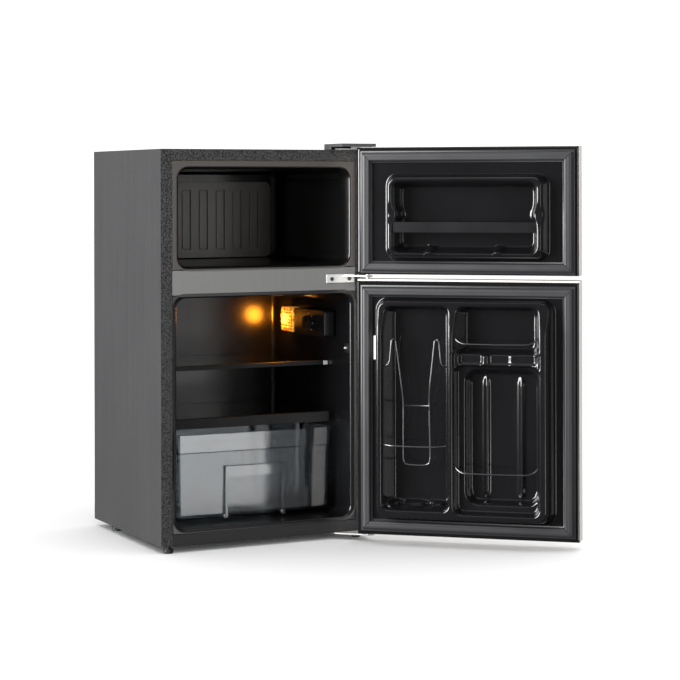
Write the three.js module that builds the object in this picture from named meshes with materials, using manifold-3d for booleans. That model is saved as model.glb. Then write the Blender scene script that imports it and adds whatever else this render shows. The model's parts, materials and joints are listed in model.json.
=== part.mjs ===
// A compact refrigerator with a separate freezer: two doors on one hinge line, both standing open.
// Millimetres, +Z up, the front faces -Y and the hinges are on the +X side.
// Inside the group that holds the fridge, x is measured from the middle of the cabinet, y from its
// front face towards the back, and z from the cabinet's bottom edge, so the feet reach below zero.
// Both doors are drawn closed and each is turned about the hinge line by DOOR_OPEN_DEG.
import * as THREE from "three";
import { mergeVertices } from "three/addons/utils/BufferGeometryUtils.js";
import Module from "manifold-3d";

const wasm = await Module();
wasm.setup();

// ---------------------------------------------------------------- driving dimensions
// Cabinet
const CABINET_WIDTH = 476;
const CABINET_DEPTH = 412;
const CABINET_HEIGHT = 825;
const SHEET = 1.2; // painted steel sheet
const GAP = 0.3; // between pieces that touch
const FLANGE_SIDE = 25; // front flange turned in from each side panel
const FLANGE_TOP = 24;
const REAR_FLANGE = 14;
const KICK_HEIGHT = 24;
const FREEZER_FACE = 229; // height of the freezer liner's face
const RAIL_HEIGHT = 52; // steel rail between the two compartments
const RAIL_DEPTH = 20;
const KICK_LIP = 15;

// Compartments
const LINER = 2; // formed plastic wall
const LINER_FACE = 1.8;
const FREEZER_SIDE = 39.7; // from the cabinet's side to the opening
const FREEZER_SILL = 4.5; // from the rail to the opening
const FREEZER_HEAD = 16;
const FREEZER_BACK_ROOM = 58; // insulation and coil behind the freezer
const FREEZER_CORNER = 24;
const FRIDGE_SIDE = 32;
const FRIDGE_SILL = 7;
const FRIDGE_HEAD = 4;
const FRIDGE_BACK_ROOM = 36;
const FRIDGE_CORNER = 25;
const HUMP_WALL = 34; // insulation in front of and above the compressor bay
const LEDGE_THICK = 4.5; // rib on the liner wall that a shelf rests on
const LEDGE_HOLD = 6; // how far it reaches in under the shelf
const FLARE_DEPTH = 34; // the freezer's rounded lip runs this far in
const FREEZER_DRAFT = 3;
const FRIDGE_LIP = 4.5;
const FRIDGE_DRAFT = 7.5;

// Compressor bay
const BAY_DEPTH = 150;
const BAY_HEIGHT = 175;
const COIL_SPACE = 8; // between the foam and the back panel
const COIL_RADIUS = 2.4;
const COIL_PASSES = 7;
const COMPRESSOR_RADIUS = 58;
const COMPRESSOR_HEIGHT = 132;

// Shelves and drawer
const SHELF_CLEARANCE = 20; // from the opening's side to the shelf
const GLASS = 4;
const SHELF_FRONT_Y = 112;
const SHELF_TRIM_HEIGHT = 7;
const COVER_FRONT_Y = 76;
const COVER_RISE = 41; // from the hump to the top of the crisper's cover
const COVER_TRIM_HEIGHT = 19;
const TRIM_DEPTH = 14; // front strip that holds a shelf's glass
const SHELF_RISE = 0.66; // the upper shelf's place between the crisper cover and the lamp housing
const DRAWER_FRONT_Y = 58;
const DRAWER_WALL = 2.2;
const DRAWER_HEADROOM = 30; // from the drawer's rim to the top of its cover
const DRAWER_FLOOR_RISE = 8;
const DRAWER_BACK_GAP = 5;
const DRAWER_BAND = 38; // the wider band below the rim
const DRAWER_HANDLE_HALF = 70;
const DRAWER_HANDLE_DROP = 70; // from the drawer's rim to the pull's top
const DRAWER_RIBS = 9;
const DRAWER_RIB_MARGIN = 30;
const DRAWER_SLOTS = 6;
const DRAWER_SLOT_MARGIN = 66;

// Lamp and thermostat
const HOUSING_DROP = 43; // from the compartment's ceiling to the housing's top
const HOUSING_HEIGHT = 58;
const HOUSING_FRONT_Y = 70;
const HOUSING_LENGTH = 155;
const HOUSING_WIDTH = 35; // from the opening's side to the housing's inner face
const HOUSING_WALL = 2;
const LENS_LENGTH = 73;
const LENS_WALL = 1.6;
const KNOB_RADIUS = 15;
const KNOB_THICK = 10;
const KNOB_SHAFT = 3.5;
const KNOB_FROM_FRONT = 78;
const BULB_RADIUS = 8;

// Light switch
const SWITCH_Y = 18;
const SWITCH_DROP = 121; // from the compartment's ceiling
const SWITCH_LENGTH = 17;
const SWITCH_HEIGHT = 20;
const SWITCH_WIDTH = 16;
const PLUNGER_RADIUS = 2.4;
const PLUNGER_OUT = 5;

// Doors
const DOOR_OPEN_DEG = 139;
const DOOR_THICK = 44;
const DOOR_STANDOFF = 14; // from the cabinet's face to the door's inner face
const DOOR_TOP_OVERHANG = 5;
const DOOR_BOTTOM = 3;
const DOOR_SPLIT_RISE = 28; // from the rail's lower edge to the top of the lower door
const DOOR_SPLIT_GAP = 10;
const DOOR_SHEET = 1;
const DOOR_CAP = 14;
const DOOR_LINER = 2;
const POCKET_FLOOR = 16; // how far a pocket is sunk behind the door's inner face
const PIN_FROM_SIDE = 16.4;
const PIN_FROM_FACE = 41.7;
const PIN_RADIUS = 4;
const PIN_CLEARANCE = 0.3;
const PIN_DEPTH = 11;
const GASKET_WIDTH = 26;
const GASKET_BASE = 5;
const GASKET_LIP_INSET = 3.5;
const GASKET_CLEAR = 1; // between the gasket and the cabinet with the door shut
const GASKET_INSET = 8;
const GASKET_INSET_TOP = 12; // below the lower door's top edge, clear of the middle hinge
const GASKET_INSET_RAIL = 3; // above the upper door's bottom edge
const WIRE_RADIUS = 1.6;
const RACK_BAR_HEIGHT = 23;
const RACK_BAR_THICK = 3;

// Hinges and feet
const HINGE_PLATE = 3;
const HINGE_ARM = 3.4;
const HINGE_LIFT = 1.2; // the top arm's clearance over the door
const HINGE_COVER_ROOM = 2.3; // over the top arm
const HINGE_COVER_WALL = 1.2;
const HINGE_COVER_REACH = 68; // from the pin to the cover's far end
const HINGE_COVER_SIDE = 14;
const HINGE_COVER_BACK_Y = 32;
const HINGE_SEAT = 0.3; // how far the top panel is pressed down under the cover
const HINGE_SEAT_MARGIN = 1;
const SCREW_RADIUS = 2.2;
const SCREW_HEAD = 4.2;
const FOOT_HEIGHT = 15;
const FOOT_RADIUS = 10.5;
const FOOT_INSET_X = 20;
const FOOT_FRONT_Y = 12;
const FOOT_REAR_INSET = 90;
const TRIM_HEIGHT = 40;
const TRIM_THICK = 5.7;

// ---------------------------------------------------------------- places worked out from them
const HALF = CABINET_WIDTH / 2;
const FREEZER_HALF = HALF - FREEZER_SIDE;
const FRIDGE_HALF = HALF - FRIDGE_SIDE;
const SHELF_HALF = FRIDGE_HALF - SHELF_CLEARANCE;
const LEDGE_REACH = SHELF_HALF - LEDGE_HOLD;
const HOUSING_REACH = FRIDGE_HALF - HOUSING_WIDTH;
const FREEZER_BACK_Y = CABINET_DEPTH - FREEZER_BACK_ROOM;
const FRIDGE_BACK_Y = CABINET_DEPTH - FRIDGE_BACK_ROOM;
const FACE_HALF = HALF - FLANGE_SIDE - GAP;
const RAIL_TOP = CABINET_HEIGHT - FLANGE_TOP - FREEZER_FACE;
const RAIL_BOTTOM = RAIL_TOP - RAIL_HEIGHT;
const INNER_HALF = HALF - SHEET - GAP; // inside the side panels
const DECK_Y = CABINET_DEPTH - BAY_DEPTH;
const HUMP_Y = DECK_Y - HUMP_WALL;
const HUMP_Z = BAY_HEIGHT + HUMP_WALL;
const COVER_TOP_Z = HUMP_Z + COVER_RISE;
const DRAWER_TOP_Z = COVER_TOP_Z - DRAWER_HEADROOM;
const DOOR_SPLIT_Z = RAIL_BOTTOM + DOOR_SPLIT_RISE;
const FRIDGE_FLOOR = KICK_HEIGHT + FRIDGE_SILL;
const FRIDGE_CEILING = RAIL_BOTTOM - FRIDGE_HEAD;
const FREEZER_FLOOR = RAIL_TOP + FREEZER_SILL;
const FREEZER_CEILING = CABINET_HEIGHT - FLANGE_TOP - FREEZER_HEAD;
const HOUSING_TOP = FRIDGE_CEILING - HOUSING_DROP;
const HOUSING_BOTTOM = HOUSING_TOP - HOUSING_HEIGHT;
const SHELF_TOP_Z = COVER_TOP_Z + SHELF_RISE * (HOUSING_BOTTOM - COVER_TOP_Z);
const SWITCH_Z = FRIDGE_CEILING - SWITCH_DROP;
const PIN_X = HALF - PIN_FROM_SIDE;
const PIN_Y = -PIN_FROM_FACE;
const DOOR_INNER_Y = -DOOR_STANDOFF;
const DOOR_OUTER_Y = DOOR_INNER_Y - DOOR_THICK;
const DOOR_TOP = CABINET_HEIGHT + DOOR_TOP_OVERHANG;

// ---------------------------------------------------------------- solids
/** A manifold from a closed geometry. */
function solid(geometry) {
  const bare = geometry.clone();
  bare.deleteAttribute("normal");
  bare.deleteAttribute("uv");
  const merged = mergeVertices(bare, 1e-4);
  return new wasm.Manifold(new wasm.Mesh({
    numProp: 3,
    vertProperties: new Float32Array(merged.attributes.position.array),
    triVerts: new Uint32Array(merged.index.array),
  }));
}

/** A geometry from a manifold. */
function geometryOf(manifold) {
  const made = manifold.getMesh();
  const geometry = new THREE.BufferGeometry();
  geometry.setAttribute("position", new THREE.BufferAttribute(made.vertProperties, 3));
  geometry.setIndex(new THREE.BufferAttribute(made.triVerts, 1));
  return geometry;
}

/** A block between two opposite corners. */
function block(x0, x1, y0, y1, z0, z1) {
  const geometry = new THREE.BoxGeometry(x1 - x0, y1 - y0, z1 - z0);
  geometry.translate((x0 + x1) / 2, (y0 + y1) / 2, (z0 + z1) / 2);
  return solid(geometry);
}

/** A cylinder along an axis, from one coordinate to another, through the point given by the other two. */
function cylinder(axis, radius, from, to, u, v, sides = 20) {
  const geometry = new THREE.CylinderGeometry(radius, radius, to - from, sides);
  const middle = (from + to) / 2;
  if (axis === "x") geometry.rotateZ(Math.PI / 2).translate(middle, u, v);
  if (axis === "y") geometry.translate(u, middle, v);
  if (axis === "z") geometry.rotateX(Math.PI / 2).translate(u, v, middle);
  return solid(geometry);
}

/** The corners of a rectangle with rounded corners, in order, as pairs. */
function roundedRect(a0, a1, b0, b1, radius, steps = 4) {
  const centres = [[a1 - radius, b1 - radius, 0], [a0 + radius, b1 - radius, 1],
    [a0 + radius, b0 + radius, 2], [a1 - radius, b0 + radius, 3]];
  return centres.flatMap(([a, b, quarter]) => Array.from({ length: steps + 1 }, (_, i) => {
    const angle = (quarter + i / steps) * Math.PI / 2;
    return [a + radius * Math.cos(angle), b + radius * Math.sin(angle)];
  }));
}

/** A solid through convex rings of points, every ring with as many points as the first. */
function loft(rings) {
  const count = rings[0].length;
  const positions = rings.flat().flatMap((p) => [p.x, p.y, p.z]);
  const faces = [];
  for (let i = 0; i + 1 < rings.length; i++) {
    for (let j = 0; j < count; j++) {
      const next = (j + 1) % count;
      const [a, b] = [i * count + j, i * count + next];
      const [c, d] = [a + count, b + count];
      faces.push([a, d, b], [a, c, d]);
    }
  }
  const last = (rings.length - 1) * count;
  for (let j = 1; j + 1 < count; j++) {
    faces.push([0, j, j + 1], [last, last + j + 1, last + j]);
  }
  const at = (i) => new THREE.Vector3().fromArray(positions, i * 3);
  const volume = faces.reduce((sum, [a, b, c]) => sum + at(a).dot(at(b).cross(at(c))), 0);
  const outward = volume > 0 ? faces : faces.map(([a, b, c]) => [a, c, b]);
  const geometry = new THREE.BufferGeometry();
  geometry.setAttribute("position", new THREE.Float32BufferAttribute(positions, 3));
  geometry.setIndex(outward.flat());
  return solid(geometry);
}

/** A drafted block with rounded edges along y: each section is {y, x0, x1, z0, z1, r}. */
function draftedAlongY(sections, grow = 0) {
  return loft(sections.map(({ y, x0, x1, z0, z1, r }) =>
    roundedRect(x0 - grow, x1 + grow, z0 - grow, z1 + grow, Math.max(r + grow, 0.5))
      .map(([x, z]) => new THREE.Vector3(x, y, z))));
}

/** A drafted block with rounded edges along z: each section is {z, x0, x1, y0, y1, r}. */
function draftedAlongZ(sections, grow = 0) {
  return loft(sections.map(({ z, x0, x1, y0, y1, r }) =>
    roundedRect(x0 - grow, x1 + grow, y0 - grow, y1 + grow, Math.max(r + grow, 0.5))
      .map(([x, y]) => new THREE.Vector3(x, y, z))));
}

/** A flat outline in x and y, thickened from z0 to z1. */
function plateXY(points, z0, z1) {
  const shape = new THREE.Shape(points.map(([x, y]) => new THREE.Vector2(x, y)));
  const geometry = new THREE.ExtrudeGeometry(shape, { depth: z1 - z0, bevelEnabled: false });
  geometry.translate(0, 0, z0);
  return solid(geometry);
}

/** A round wire through points, bent smoothly where they turn. */
function wire(points, radius, steps, tension = 0.25) {
  const path = new THREE.CatmullRomCurve3(points.map((p) => new THREE.Vector3(...p)), false,
    "catmullrom", tension);
  const section = new THREE.Shape(Array.from({ length: 8 }, (_, i) =>
    new THREE.Vector2(radius * Math.cos(i * Math.PI / 4), radius * Math.sin(i * Math.PI / 4))));
  return solid(new THREE.ExtrudeGeometry(section, { steps, extrudePath: path, bevelEnabled: false }));
}

const join = (...pieces) => pieces.reduce((whole, piece) => whole.add(piece));
const cut = (piece, ...tools) => tools.reduce((left, tool) => left.subtract(tool), piece);
const both = (make) => [-1, 1].map(make);

// ---------------------------------------------------------------- scene
const fridge = new THREE.Group();
fridge.name = "mini_fridge";
const cabinet = new THREE.Group();
const freezerDoor = new THREE.Group();
const fridgeDoor = new THREE.Group();
fridge.add(cabinet);

const PAINT = { color: 0x6a6a6c, roughness: 0.55, metalness: 0.3 };
const RAIL_PAINT = { color: 0x6b6b6b, roughness: 0.5, metalness: 0.3 };
const GALVANISED = { color: 0x9a9c9e, roughness: 0.45, metalness: 0.8 };
const BLACK_GLOSS = { color: 0x101112, roughness: 0.12, metalness: 0 };
const BLACK_MATT = { color: 0x1a1a1b, roughness: 0.7, metalness: 0 };
const FREEZER_PLASTIC = { color: 0x1b1a19, roughness: 0.2, metalness: 0 };
const SILVER = { color: 0xdedad6, roughness: 0.35, metalness: 0.6 };
const SILVER_PLASTIC = { color: 0xd6d2ce, roughness: 0.45, metalness: 0.1 };
const STAINLESS = { color: 0xd0d0d0, roughness: 0.3, metalness: 0.9 };
const FOAM = { color: 0xe8dcae, roughness: 0.95, metalness: 0 };
const RUBBER = { color: 0x4a4a50, roughness: 0.6, metalness: 0 };
const CLEAR = { color: 0xc8d2d8, roughness: 0.05, metalness: 0, transparent: true, opacity: 0.3 };
const AMBER = { color: 0xf2a01e, roughness: 0.2, metalness: 0, transparent: true, opacity: 0.8 };
const COPPER = { color: 0xb5713c, roughness: 0.35, metalness: 1 };

/** Adds one named piece to a group. */
function add(parent, name, manifold, look) {
  const mesh = new THREE.Mesh(geometryOf(manifold), new THREE.MeshStandardMaterial(look));
  mesh.name = name;
  parent.add(mesh);
}

// ---------------------------------------------------------------- cabinet sheet metal
function outerShell() {
  const wrap = cut(
    block(-HALF, HALF, 0, CABINET_DEPTH, 0, CABINET_HEIGHT),
    block(-HALF + SHEET, HALF - SHEET, -1, CABINET_DEPTH + 1, -1, CABINET_HEIGHT - SHEET),
  );
  const rim = (y0, y1, side, top) => cut(
    block(-HALF, HALF, y0, y1, 0, CABINET_HEIGHT),
    block(-HALF + side, HALF - side, y0 - 1, y1 + 1, -1, CABINET_HEIGHT - top),
  );
  const shell = join(
    wrap,
    rim(0, SHEET, FLANGE_SIDE, FLANGE_TOP),
    rim(CABINET_DEPTH - SHEET, CABINET_DEPTH, REAR_FLANGE, REAR_FLANGE),
  );
  const seatX = PIN_X - HINGE_COVER_REACH - HINGE_SEAT_MARGIN;
  return cut(shell, block(seatX, HALF + 1, -1, HINGE_COVER_BACK_Y + HINGE_SEAT_MARGIN,
    CABINET_HEIGHT - HINGE_SEAT, CABINET_HEIGHT + 1));
}

function backPanel() {
  const y = CABINET_DEPTH - SHEET - GAP;
  const z0 = BAY_HEIGHT + SHEET + GAP;
  return block(-INNER_HALF, INNER_HALF, y - SHEET, y, z0, CABINET_HEIGHT - SHEET - GAP);
}

function compressorDeck() {
  const back = CABINET_DEPTH - 2 * (SHEET + GAP);
  return join(
    block(-INNER_HALF, INNER_HALF, DECK_Y, DECK_Y + SHEET, SHEET + GAP, BAY_HEIGHT),
    block(-INNER_HALF, INNER_HALF, DECK_Y, back, BAY_HEIGHT - SHEET, BAY_HEIGHT),
  );
}

function midRail() {
  const front = block(-FACE_HALF, FACE_HALF, 0, SHEET, RAIL_BOTTOM, RAIL_TOP);
  const webs = [RAIL_BOTTOM, RAIL_TOP - SHEET].map((z) =>
    block(-FACE_HALF, FACE_HALF, 0, RAIL_DEPTH, z, z + SHEET));
  return cut(join(front, ...webs), ...screwPlaces().map(([x, z]) =>
    cylinder("y", SCREW_RADIUS + PIN_CLEARANCE, -1, SHEET + 1, x, z, 12)));
}

function kickPlate() {
  const top = KICK_HEIGHT - GAP;
  return join(
    block(-FACE_HALF, FACE_HALF, 0, SHEET, 0, top),
    block(-FACE_HALF, FACE_HALF, 0, KICK_LIP, top - SHEET, top),
  );
}

add(cabinet, "outer_shell", outerShell(), PAINT);
add(cabinet, "back_panel", backPanel(), GALVANISED);
add(cabinet, "base_pan", block(-INNER_HALF, INNER_HALF, SHEET + GAP, CABINET_DEPTH - SHEET - GAP, 0, SHEET),
  GALVANISED);
add(cabinet, "compressor_deck", compressorDeck(), GALVANISED);
add(cabinet, "mid_rail", midRail(), RAIL_PAINT);
add(cabinet, "kick_plate", kickPlate(), BLACK_MATT);
add(cabinet, "rear_top_trim", block(-HALF + 2, HALF - 2, CABINET_DEPTH + GAP, CABINET_DEPTH + GAP + TRIM_THICK,
  CABINET_HEIGHT - 1 - TRIM_HEIGHT, CABINET_HEIGHT - 1), BLACK_MATT);

// ---------------------------------------------------------------- liners and insulation
const FLARE = 8; // the rounded lip inside the freezer's opening

/** Sections of a compartment from its opening to its back wall. */
function compartment(half, floor, ceiling, back, corner, flareDepth, flare, draft) {
  const section = (y, inset) => ({
    y, x0: -half + inset, x1: half - inset, z0: floor + inset / 2, z1: ceiling - inset / 2,
    r: corner - inset / 3,
  });
  return [section(-1, 0), section(0, 0), section(flareDepth, flare), section(back, flare + draft)];
}

const freezerSections = compartment(
  FREEZER_HALF, FREEZER_FLOOR, FREEZER_CEILING, FREEZER_BACK_Y, FREEZER_CORNER, FLARE_DEPTH, FLARE,
  FREEZER_DRAFT);
const fridgeSections = compartment(
  FRIDGE_HALF, FRIDGE_FLOOR, FRIDGE_CEILING, FRIDGE_BACK_Y, FRIDGE_CORNER, FLARE, FRIDGE_LIP, FRIDGE_DRAFT);

/** The same sections pushed back and out by a wall. */
function outside(sections, wall) {
  const last = sections.length - 1;
  return sections.map((s, i) => (i === last ? { ...s, y: s.y + wall } : s));
}

function hump(shrink) {
  return block(-HALF, HALF, HUMP_Y + shrink, CABINET_DEPTH, -HALF, HUMP_Z - shrink);
}

const freezerOutside = (wall) => draftedAlongY(outside(freezerSections, wall), wall);
const fridgeOutside = (wall) =>
  cut(draftedAlongY(outside(fridgeSections, wall), wall), hump(wall));
const fridgeCavity = cut(draftedAlongY(fridgeSections), hump(0));

/** Keeps only what stands behind the cabinet's front face. */
const behindFace = (piece) => cut(piece, block(-HALF, HALF, -HALF, 0, -HALF, 2 * CABINET_HEIGHT));

function freezerLiner() {
  const face = block(-FACE_HALF, FACE_HALF, 0, LINER_FACE, RAIL_TOP + GAP,
    CABINET_HEIGHT - FLANGE_TOP - GAP);
  return cut(join(face, behindFace(freezerOutside(LINER))), draftedAlongY(freezerSections));
}

/** The block that the light switch fills, grown by a clearance. */
function switchSpace(front, clear) {
  const deep = SWITCH_WIDTH / 2 + clear;
  const high = SWITCH_HEIGHT / 2 + clear;
  return block(front, switchEnd + clear, SWITCH_Y - deep, SWITCH_Y + deep, SWITCH_Z - high, SWITCH_Z + high);
}

const switchFace = FRIDGE_HALF - 7; // stands just proud of the wall
const switchEnd = switchFace - 1 + SWITCH_LENGTH;

function fridgeLiner() {
  const face = block(-FACE_HALF, FACE_HALF, 0, LINER_FACE, KICK_HEIGHT, RAIL_BOTTOM - GAP);
  const shelves = [[SHELF_TOP_Z, SHELF_FRONT_Y], [COVER_TOP_Z, COVER_FRONT_Y]];
  const ledges = shelves.flatMap(([glassTop, front]) => both((side) => {
    const top = glassTop - GLASS - GAP;
    const [x0, x1] = side < 0 ? [-HALF, -LEDGE_REACH] : [LEDGE_REACH, HALF];
    return block(x0, x1, front + TRIM_DEPTH + 1, FRIDGE_BACK_Y + LINER / 2, top - LEDGE_THICK, top)
      .intersect(fridgeOutside(LINER / 2));
  }));
  const shell = cut(join(face, behindFace(fridgeOutside(LINER))), fridgeCavity);
  return cut(join(shell, ...ledges), switchSpace(switchFace - 1, GAP));
}

function cabinetFoam() {
  const front = LINER_FACE + 2 * GAP;
  const body = block(-INNER_HALF, INNER_HALF, front, CABINET_DEPTH - COIL_SPACE - SHEET - GAP,
    SHEET + GAP, CABINET_HEIGHT - SHEET - GAP);
  return cut(
    body,
    freezerOutside(LINER + GAP),
    fridgeOutside(LINER + GAP),
    block(-HALF, HALF, 0, RAIL_DEPTH + GAP, RAIL_BOTTOM - GAP, RAIL_TOP + GAP),
    block(-HALF, HALF, 0, KICK_LIP + GAP, -1, KICK_HEIGHT),
    block(-HALF, HALF, DECK_Y - GAP, CABINET_DEPTH, -1, BAY_HEIGHT + GAP),
    switchSpace(switchFace - 1, 2 * GAP),
  );
}

add(cabinet, "freezer_liner", freezerLiner(), FREEZER_PLASTIC);
add(cabinet, "fridge_liner", fridgeLiner(), BLACK_GLOSS);
add(cabinet, "cabinet_foam", cabinetFoam(), FOAM);

// ---------------------------------------------------------------- freezer back
const COVER_SIDE = 30.3; // from the opening's side to the cover's
const COVER_MARGIN = 36.5; // floor and ceiling together, less the cover
const COVER_THICK = 3;
const COVER_FOOT = 8; // from the freezer's floor
const COVER_CORNER = 14;
const PLATE_THICK = 3.5;
const PLATE_MARGIN = 6;
const SLOTS = 7;
const SLOT_EDGE = 22.4; // from the cover's side to the first slot's share
const SLOT_BAR = 18.6; // between two slots
const SLOT_END = 17; // above and below a slot
const SLOT_CORNER = 4;

const COVER_HALF = FREEZER_HALF - COVER_SIDE;
const COVER_HEIGHT = FREEZER_CEILING - FREEZER_FLOOR - COVER_MARGIN;
const SLOT_PITCH = 2 * (COVER_HALF - SLOT_EDGE) / SLOTS;
const SLOT_WIDTH = SLOT_PITCH - SLOT_BAR;
const SLOT_HEIGHT = COVER_HEIGHT - 2 * SLOT_END;

const plateBack = FREEZER_BACK_Y - GAP;
const coverBack = plateBack - PLATE_THICK - GAP;
const coverZ = FREEZER_FLOOR + COVER_FOOT;

function rearCover() {
  const middle = coverZ + COVER_HEIGHT / 2;
  const plate = draftedAlongY([coverBack - COVER_THICK, coverBack].map((y) => ({
    y, x0: -COVER_HALF, x1: COVER_HALF, z0: coverZ, z1: coverZ + COVER_HEIGHT, r: COVER_CORNER,
  })));
  const slots = Array.from({ length: SLOTS }, (_, i) => {
    const x = (i - (SLOTS - 1) / 2) * SLOT_PITCH;
    return draftedAlongY([coverBack - COVER_THICK - 1, coverBack + 1].map((y) => ({
      y, x0: x - SLOT_WIDTH / 2, x1: x + SLOT_WIDTH / 2, z0: middle - SLOT_HEIGHT / 2,
      z1: middle + SLOT_HEIGHT / 2, r: SLOT_CORNER,
    })));
  });
  return cut(plate, ...slots);
}

add(cabinet, "freezer_rear_cover", rearCover(), FREEZER_PLASTIC);
const plateHalf = COVER_HALF - PLATE_MARGIN;
add(cabinet, "evaporator_plate", block(-plateHalf, plateHalf, plateBack - PLATE_THICK, plateBack,
  coverZ + PLATE_MARGIN, coverZ + COVER_HEIGHT - PLATE_MARGIN), FREEZER_PLASTIC);

// ---------------------------------------------------------------- cooling system
const bayMiddleY = (DECK_Y + SHEET + CABINET_DEPTH) / 2;
const compressorX = HALF - 178;
const COIL_LOW = 45; // from the top of the compressor bay to the first pass
const COIL_HIGH = 55; // from the last pass to the cabinet's top
const COIL_SIDE = 20;

/** Points along the condenser's passes, back and forth, with a round bend after each. */
function coilPoints() {
  const low = BAY_HEIGHT + COIL_LOW;
  const pitch = (CABINET_HEIGHT - COIL_HIGH - low) / (COIL_PASSES - 1);
  const reach = INNER_HALF - COIL_SIDE - pitch / 2;
  const y = CABINET_DEPTH - SHEET - GAP - SHEET - COIL_SPACE / 2;
  const bendSteps = 6;
  const points = [new THREE.Vector3(-reach, y, low)];
  for (let i = 0; i < COIL_PASSES; i++) {
    const [side, z] = [i % 2 ? -1 : 1, low + i * pitch];
    const steps = i === COIL_PASSES - 1 ? 0 : bendSteps;
    for (let k = 0; k <= steps; k++) {
      const turn = -Math.PI / 2 + k * Math.PI / bendSteps;
      const [across, up] = [pitch / 2 * Math.cos(turn), pitch / 2 * (1 + Math.sin(turn))];
      points.push(new THREE.Vector3(side * (reach + across), y, z + up));
    }
  }
  return points;
}

function condenserCoil() {
  const sides = 6;
  const joints = coilPoints();
  const rings = joints.map((p, i) => {
    const from = joints[Math.max(i - 1, 0)];
    const to = joints[Math.min(i + 1, joints.length - 1)];
    const along = to.clone().sub(from).normalize();
    const across = new THREE.Vector3(0, 1, 0).cross(along).normalize();
    return Array.from({ length: sides }, (_, k) => {
      const angle = k * 2 * Math.PI / sides;
      return p.clone().addScaledVector(across, COIL_RADIUS * Math.cos(angle))
        .add(new THREE.Vector3(0, COIL_RADIUS * Math.sin(angle), 0));
    });
  });
  return loft(rings);
}

function compressor() {
  const z = SHEET + GAP;
  const r = COMPRESSOR_RADIUS;
  const top = z + COMPRESSOR_HEIGHT;
  const profile = [[0, z + 8], [r - 10, z + 8], [r - 2, z + 20], [r, z + 45], [r, top - 35],
    [r - 6, top - 16], [r - 20, top - 4], [0, top]];
  const dome = new THREE.LatheGeometry(profile.map(([a, b]) => new THREE.Vector2(a, b)), 28);
  dome.rotateX(Math.PI / 2).translate(compressorX, bayMiddleY, 0);
  const feet = block(compressorX - r - 14, compressorX + r + 14, bayMiddleY - 50, bayMiddleY + 50,
    z + 6, z + 10);
  const pads = both((sx) => both((sy) => cylinder("z", 9, z, z + 8, compressorX + sx * (r + 4),
    bayMiddleY + sy * 40, 12))).flat();
  const stub = cylinder("z", 4, top - 12, top + 6, compressorX - 20, bayMiddleY + 10, 12);
  return join(solid(dome), feet, ...pads, stub);
}

function openTray(x0, x1, y0, y1, z0, z1, wall) {
  return cut(block(x0, x1, y0, y1, z0, z1),
    block(x0 + wall, x1 - wall, y0 + wall, y1 - wall, z0 + wall, z1 + 1));
}

add(cabinet, "condenser_coil", condenserCoil(), COPPER);
add(cabinet, "compressor", compressor(), BLACK_MATT);
const relayX = compressorX + COMPRESSOR_RADIUS;
add(cabinet, "compressor_relay_cover",
  block(relayX + GAP, relayX + 32, bayMiddleY - 24, bayMiddleY + 24, 50, 104), BLACK_MATT);
const trayEnd = compressorX - COMPRESSOR_RADIUS - 32;
add(cabinet, "drip_tray", openTray(-INNER_HALF + 36.5, trayEnd, DECK_Y + SHEET + 12, CABINET_DEPTH - 24,
  60, 85, 1.6), BLACK_MATT);
const clampX = -INNER_HALF + 97.5;
add(cabinet, "cord_clamp", cut(
  block(clampX - 11, clampX + 11, CABINET_DEPTH - 22, CABINET_DEPTH - 8, SHEET + GAP, 20),
  cylinder("y", 4, CABINET_DEPTH - 30, CABINET_DEPTH, clampX, 11, 16),
), BLACK_MATT);

// ---------------------------------------------------------------- shelves and crisper
const shelfBack = FRIDGE_BACK_Y - 6;
const trimGap = GAP + 0.2;

function shelfGlass(front, top) {
  return block(-SHELF_HALF, SHELF_HALF, front + 6 + GAP, shelfBack, top - GLASS, top);
}

function shelfTrim(front, top, height) {
  const bar = block(-SHELF_HALF, SHELF_HALF, front, front + TRIM_DEPTH, top - height, top + 2);
  const seat = block(-SHELF_HALF - 1, SHELF_HALF + 1, front + 6, front + TRIM_DEPTH + 1,
    top - GLASS - trimGap, top + trimGap);
  return cut(bar, seat);
}

add(cabinet, "upper_shelf_glass", shelfGlass(SHELF_FRONT_Y, SHELF_TOP_Z), CLEAR);
add(cabinet, "upper_shelf_trim", shelfTrim(SHELF_FRONT_Y, SHELF_TOP_Z, SHELF_TRIM_HEIGHT), SILVER_PLASTIC);
add(cabinet, "crisper_cover_glass", shelfGlass(COVER_FRONT_Y, COVER_TOP_Z), CLEAR);
add(cabinet, "crisper_cover_trim", shelfTrim(COVER_FRONT_Y, COVER_TOP_Z, COVER_TRIM_HEIGHT), BLACK_GLOSS);

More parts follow.
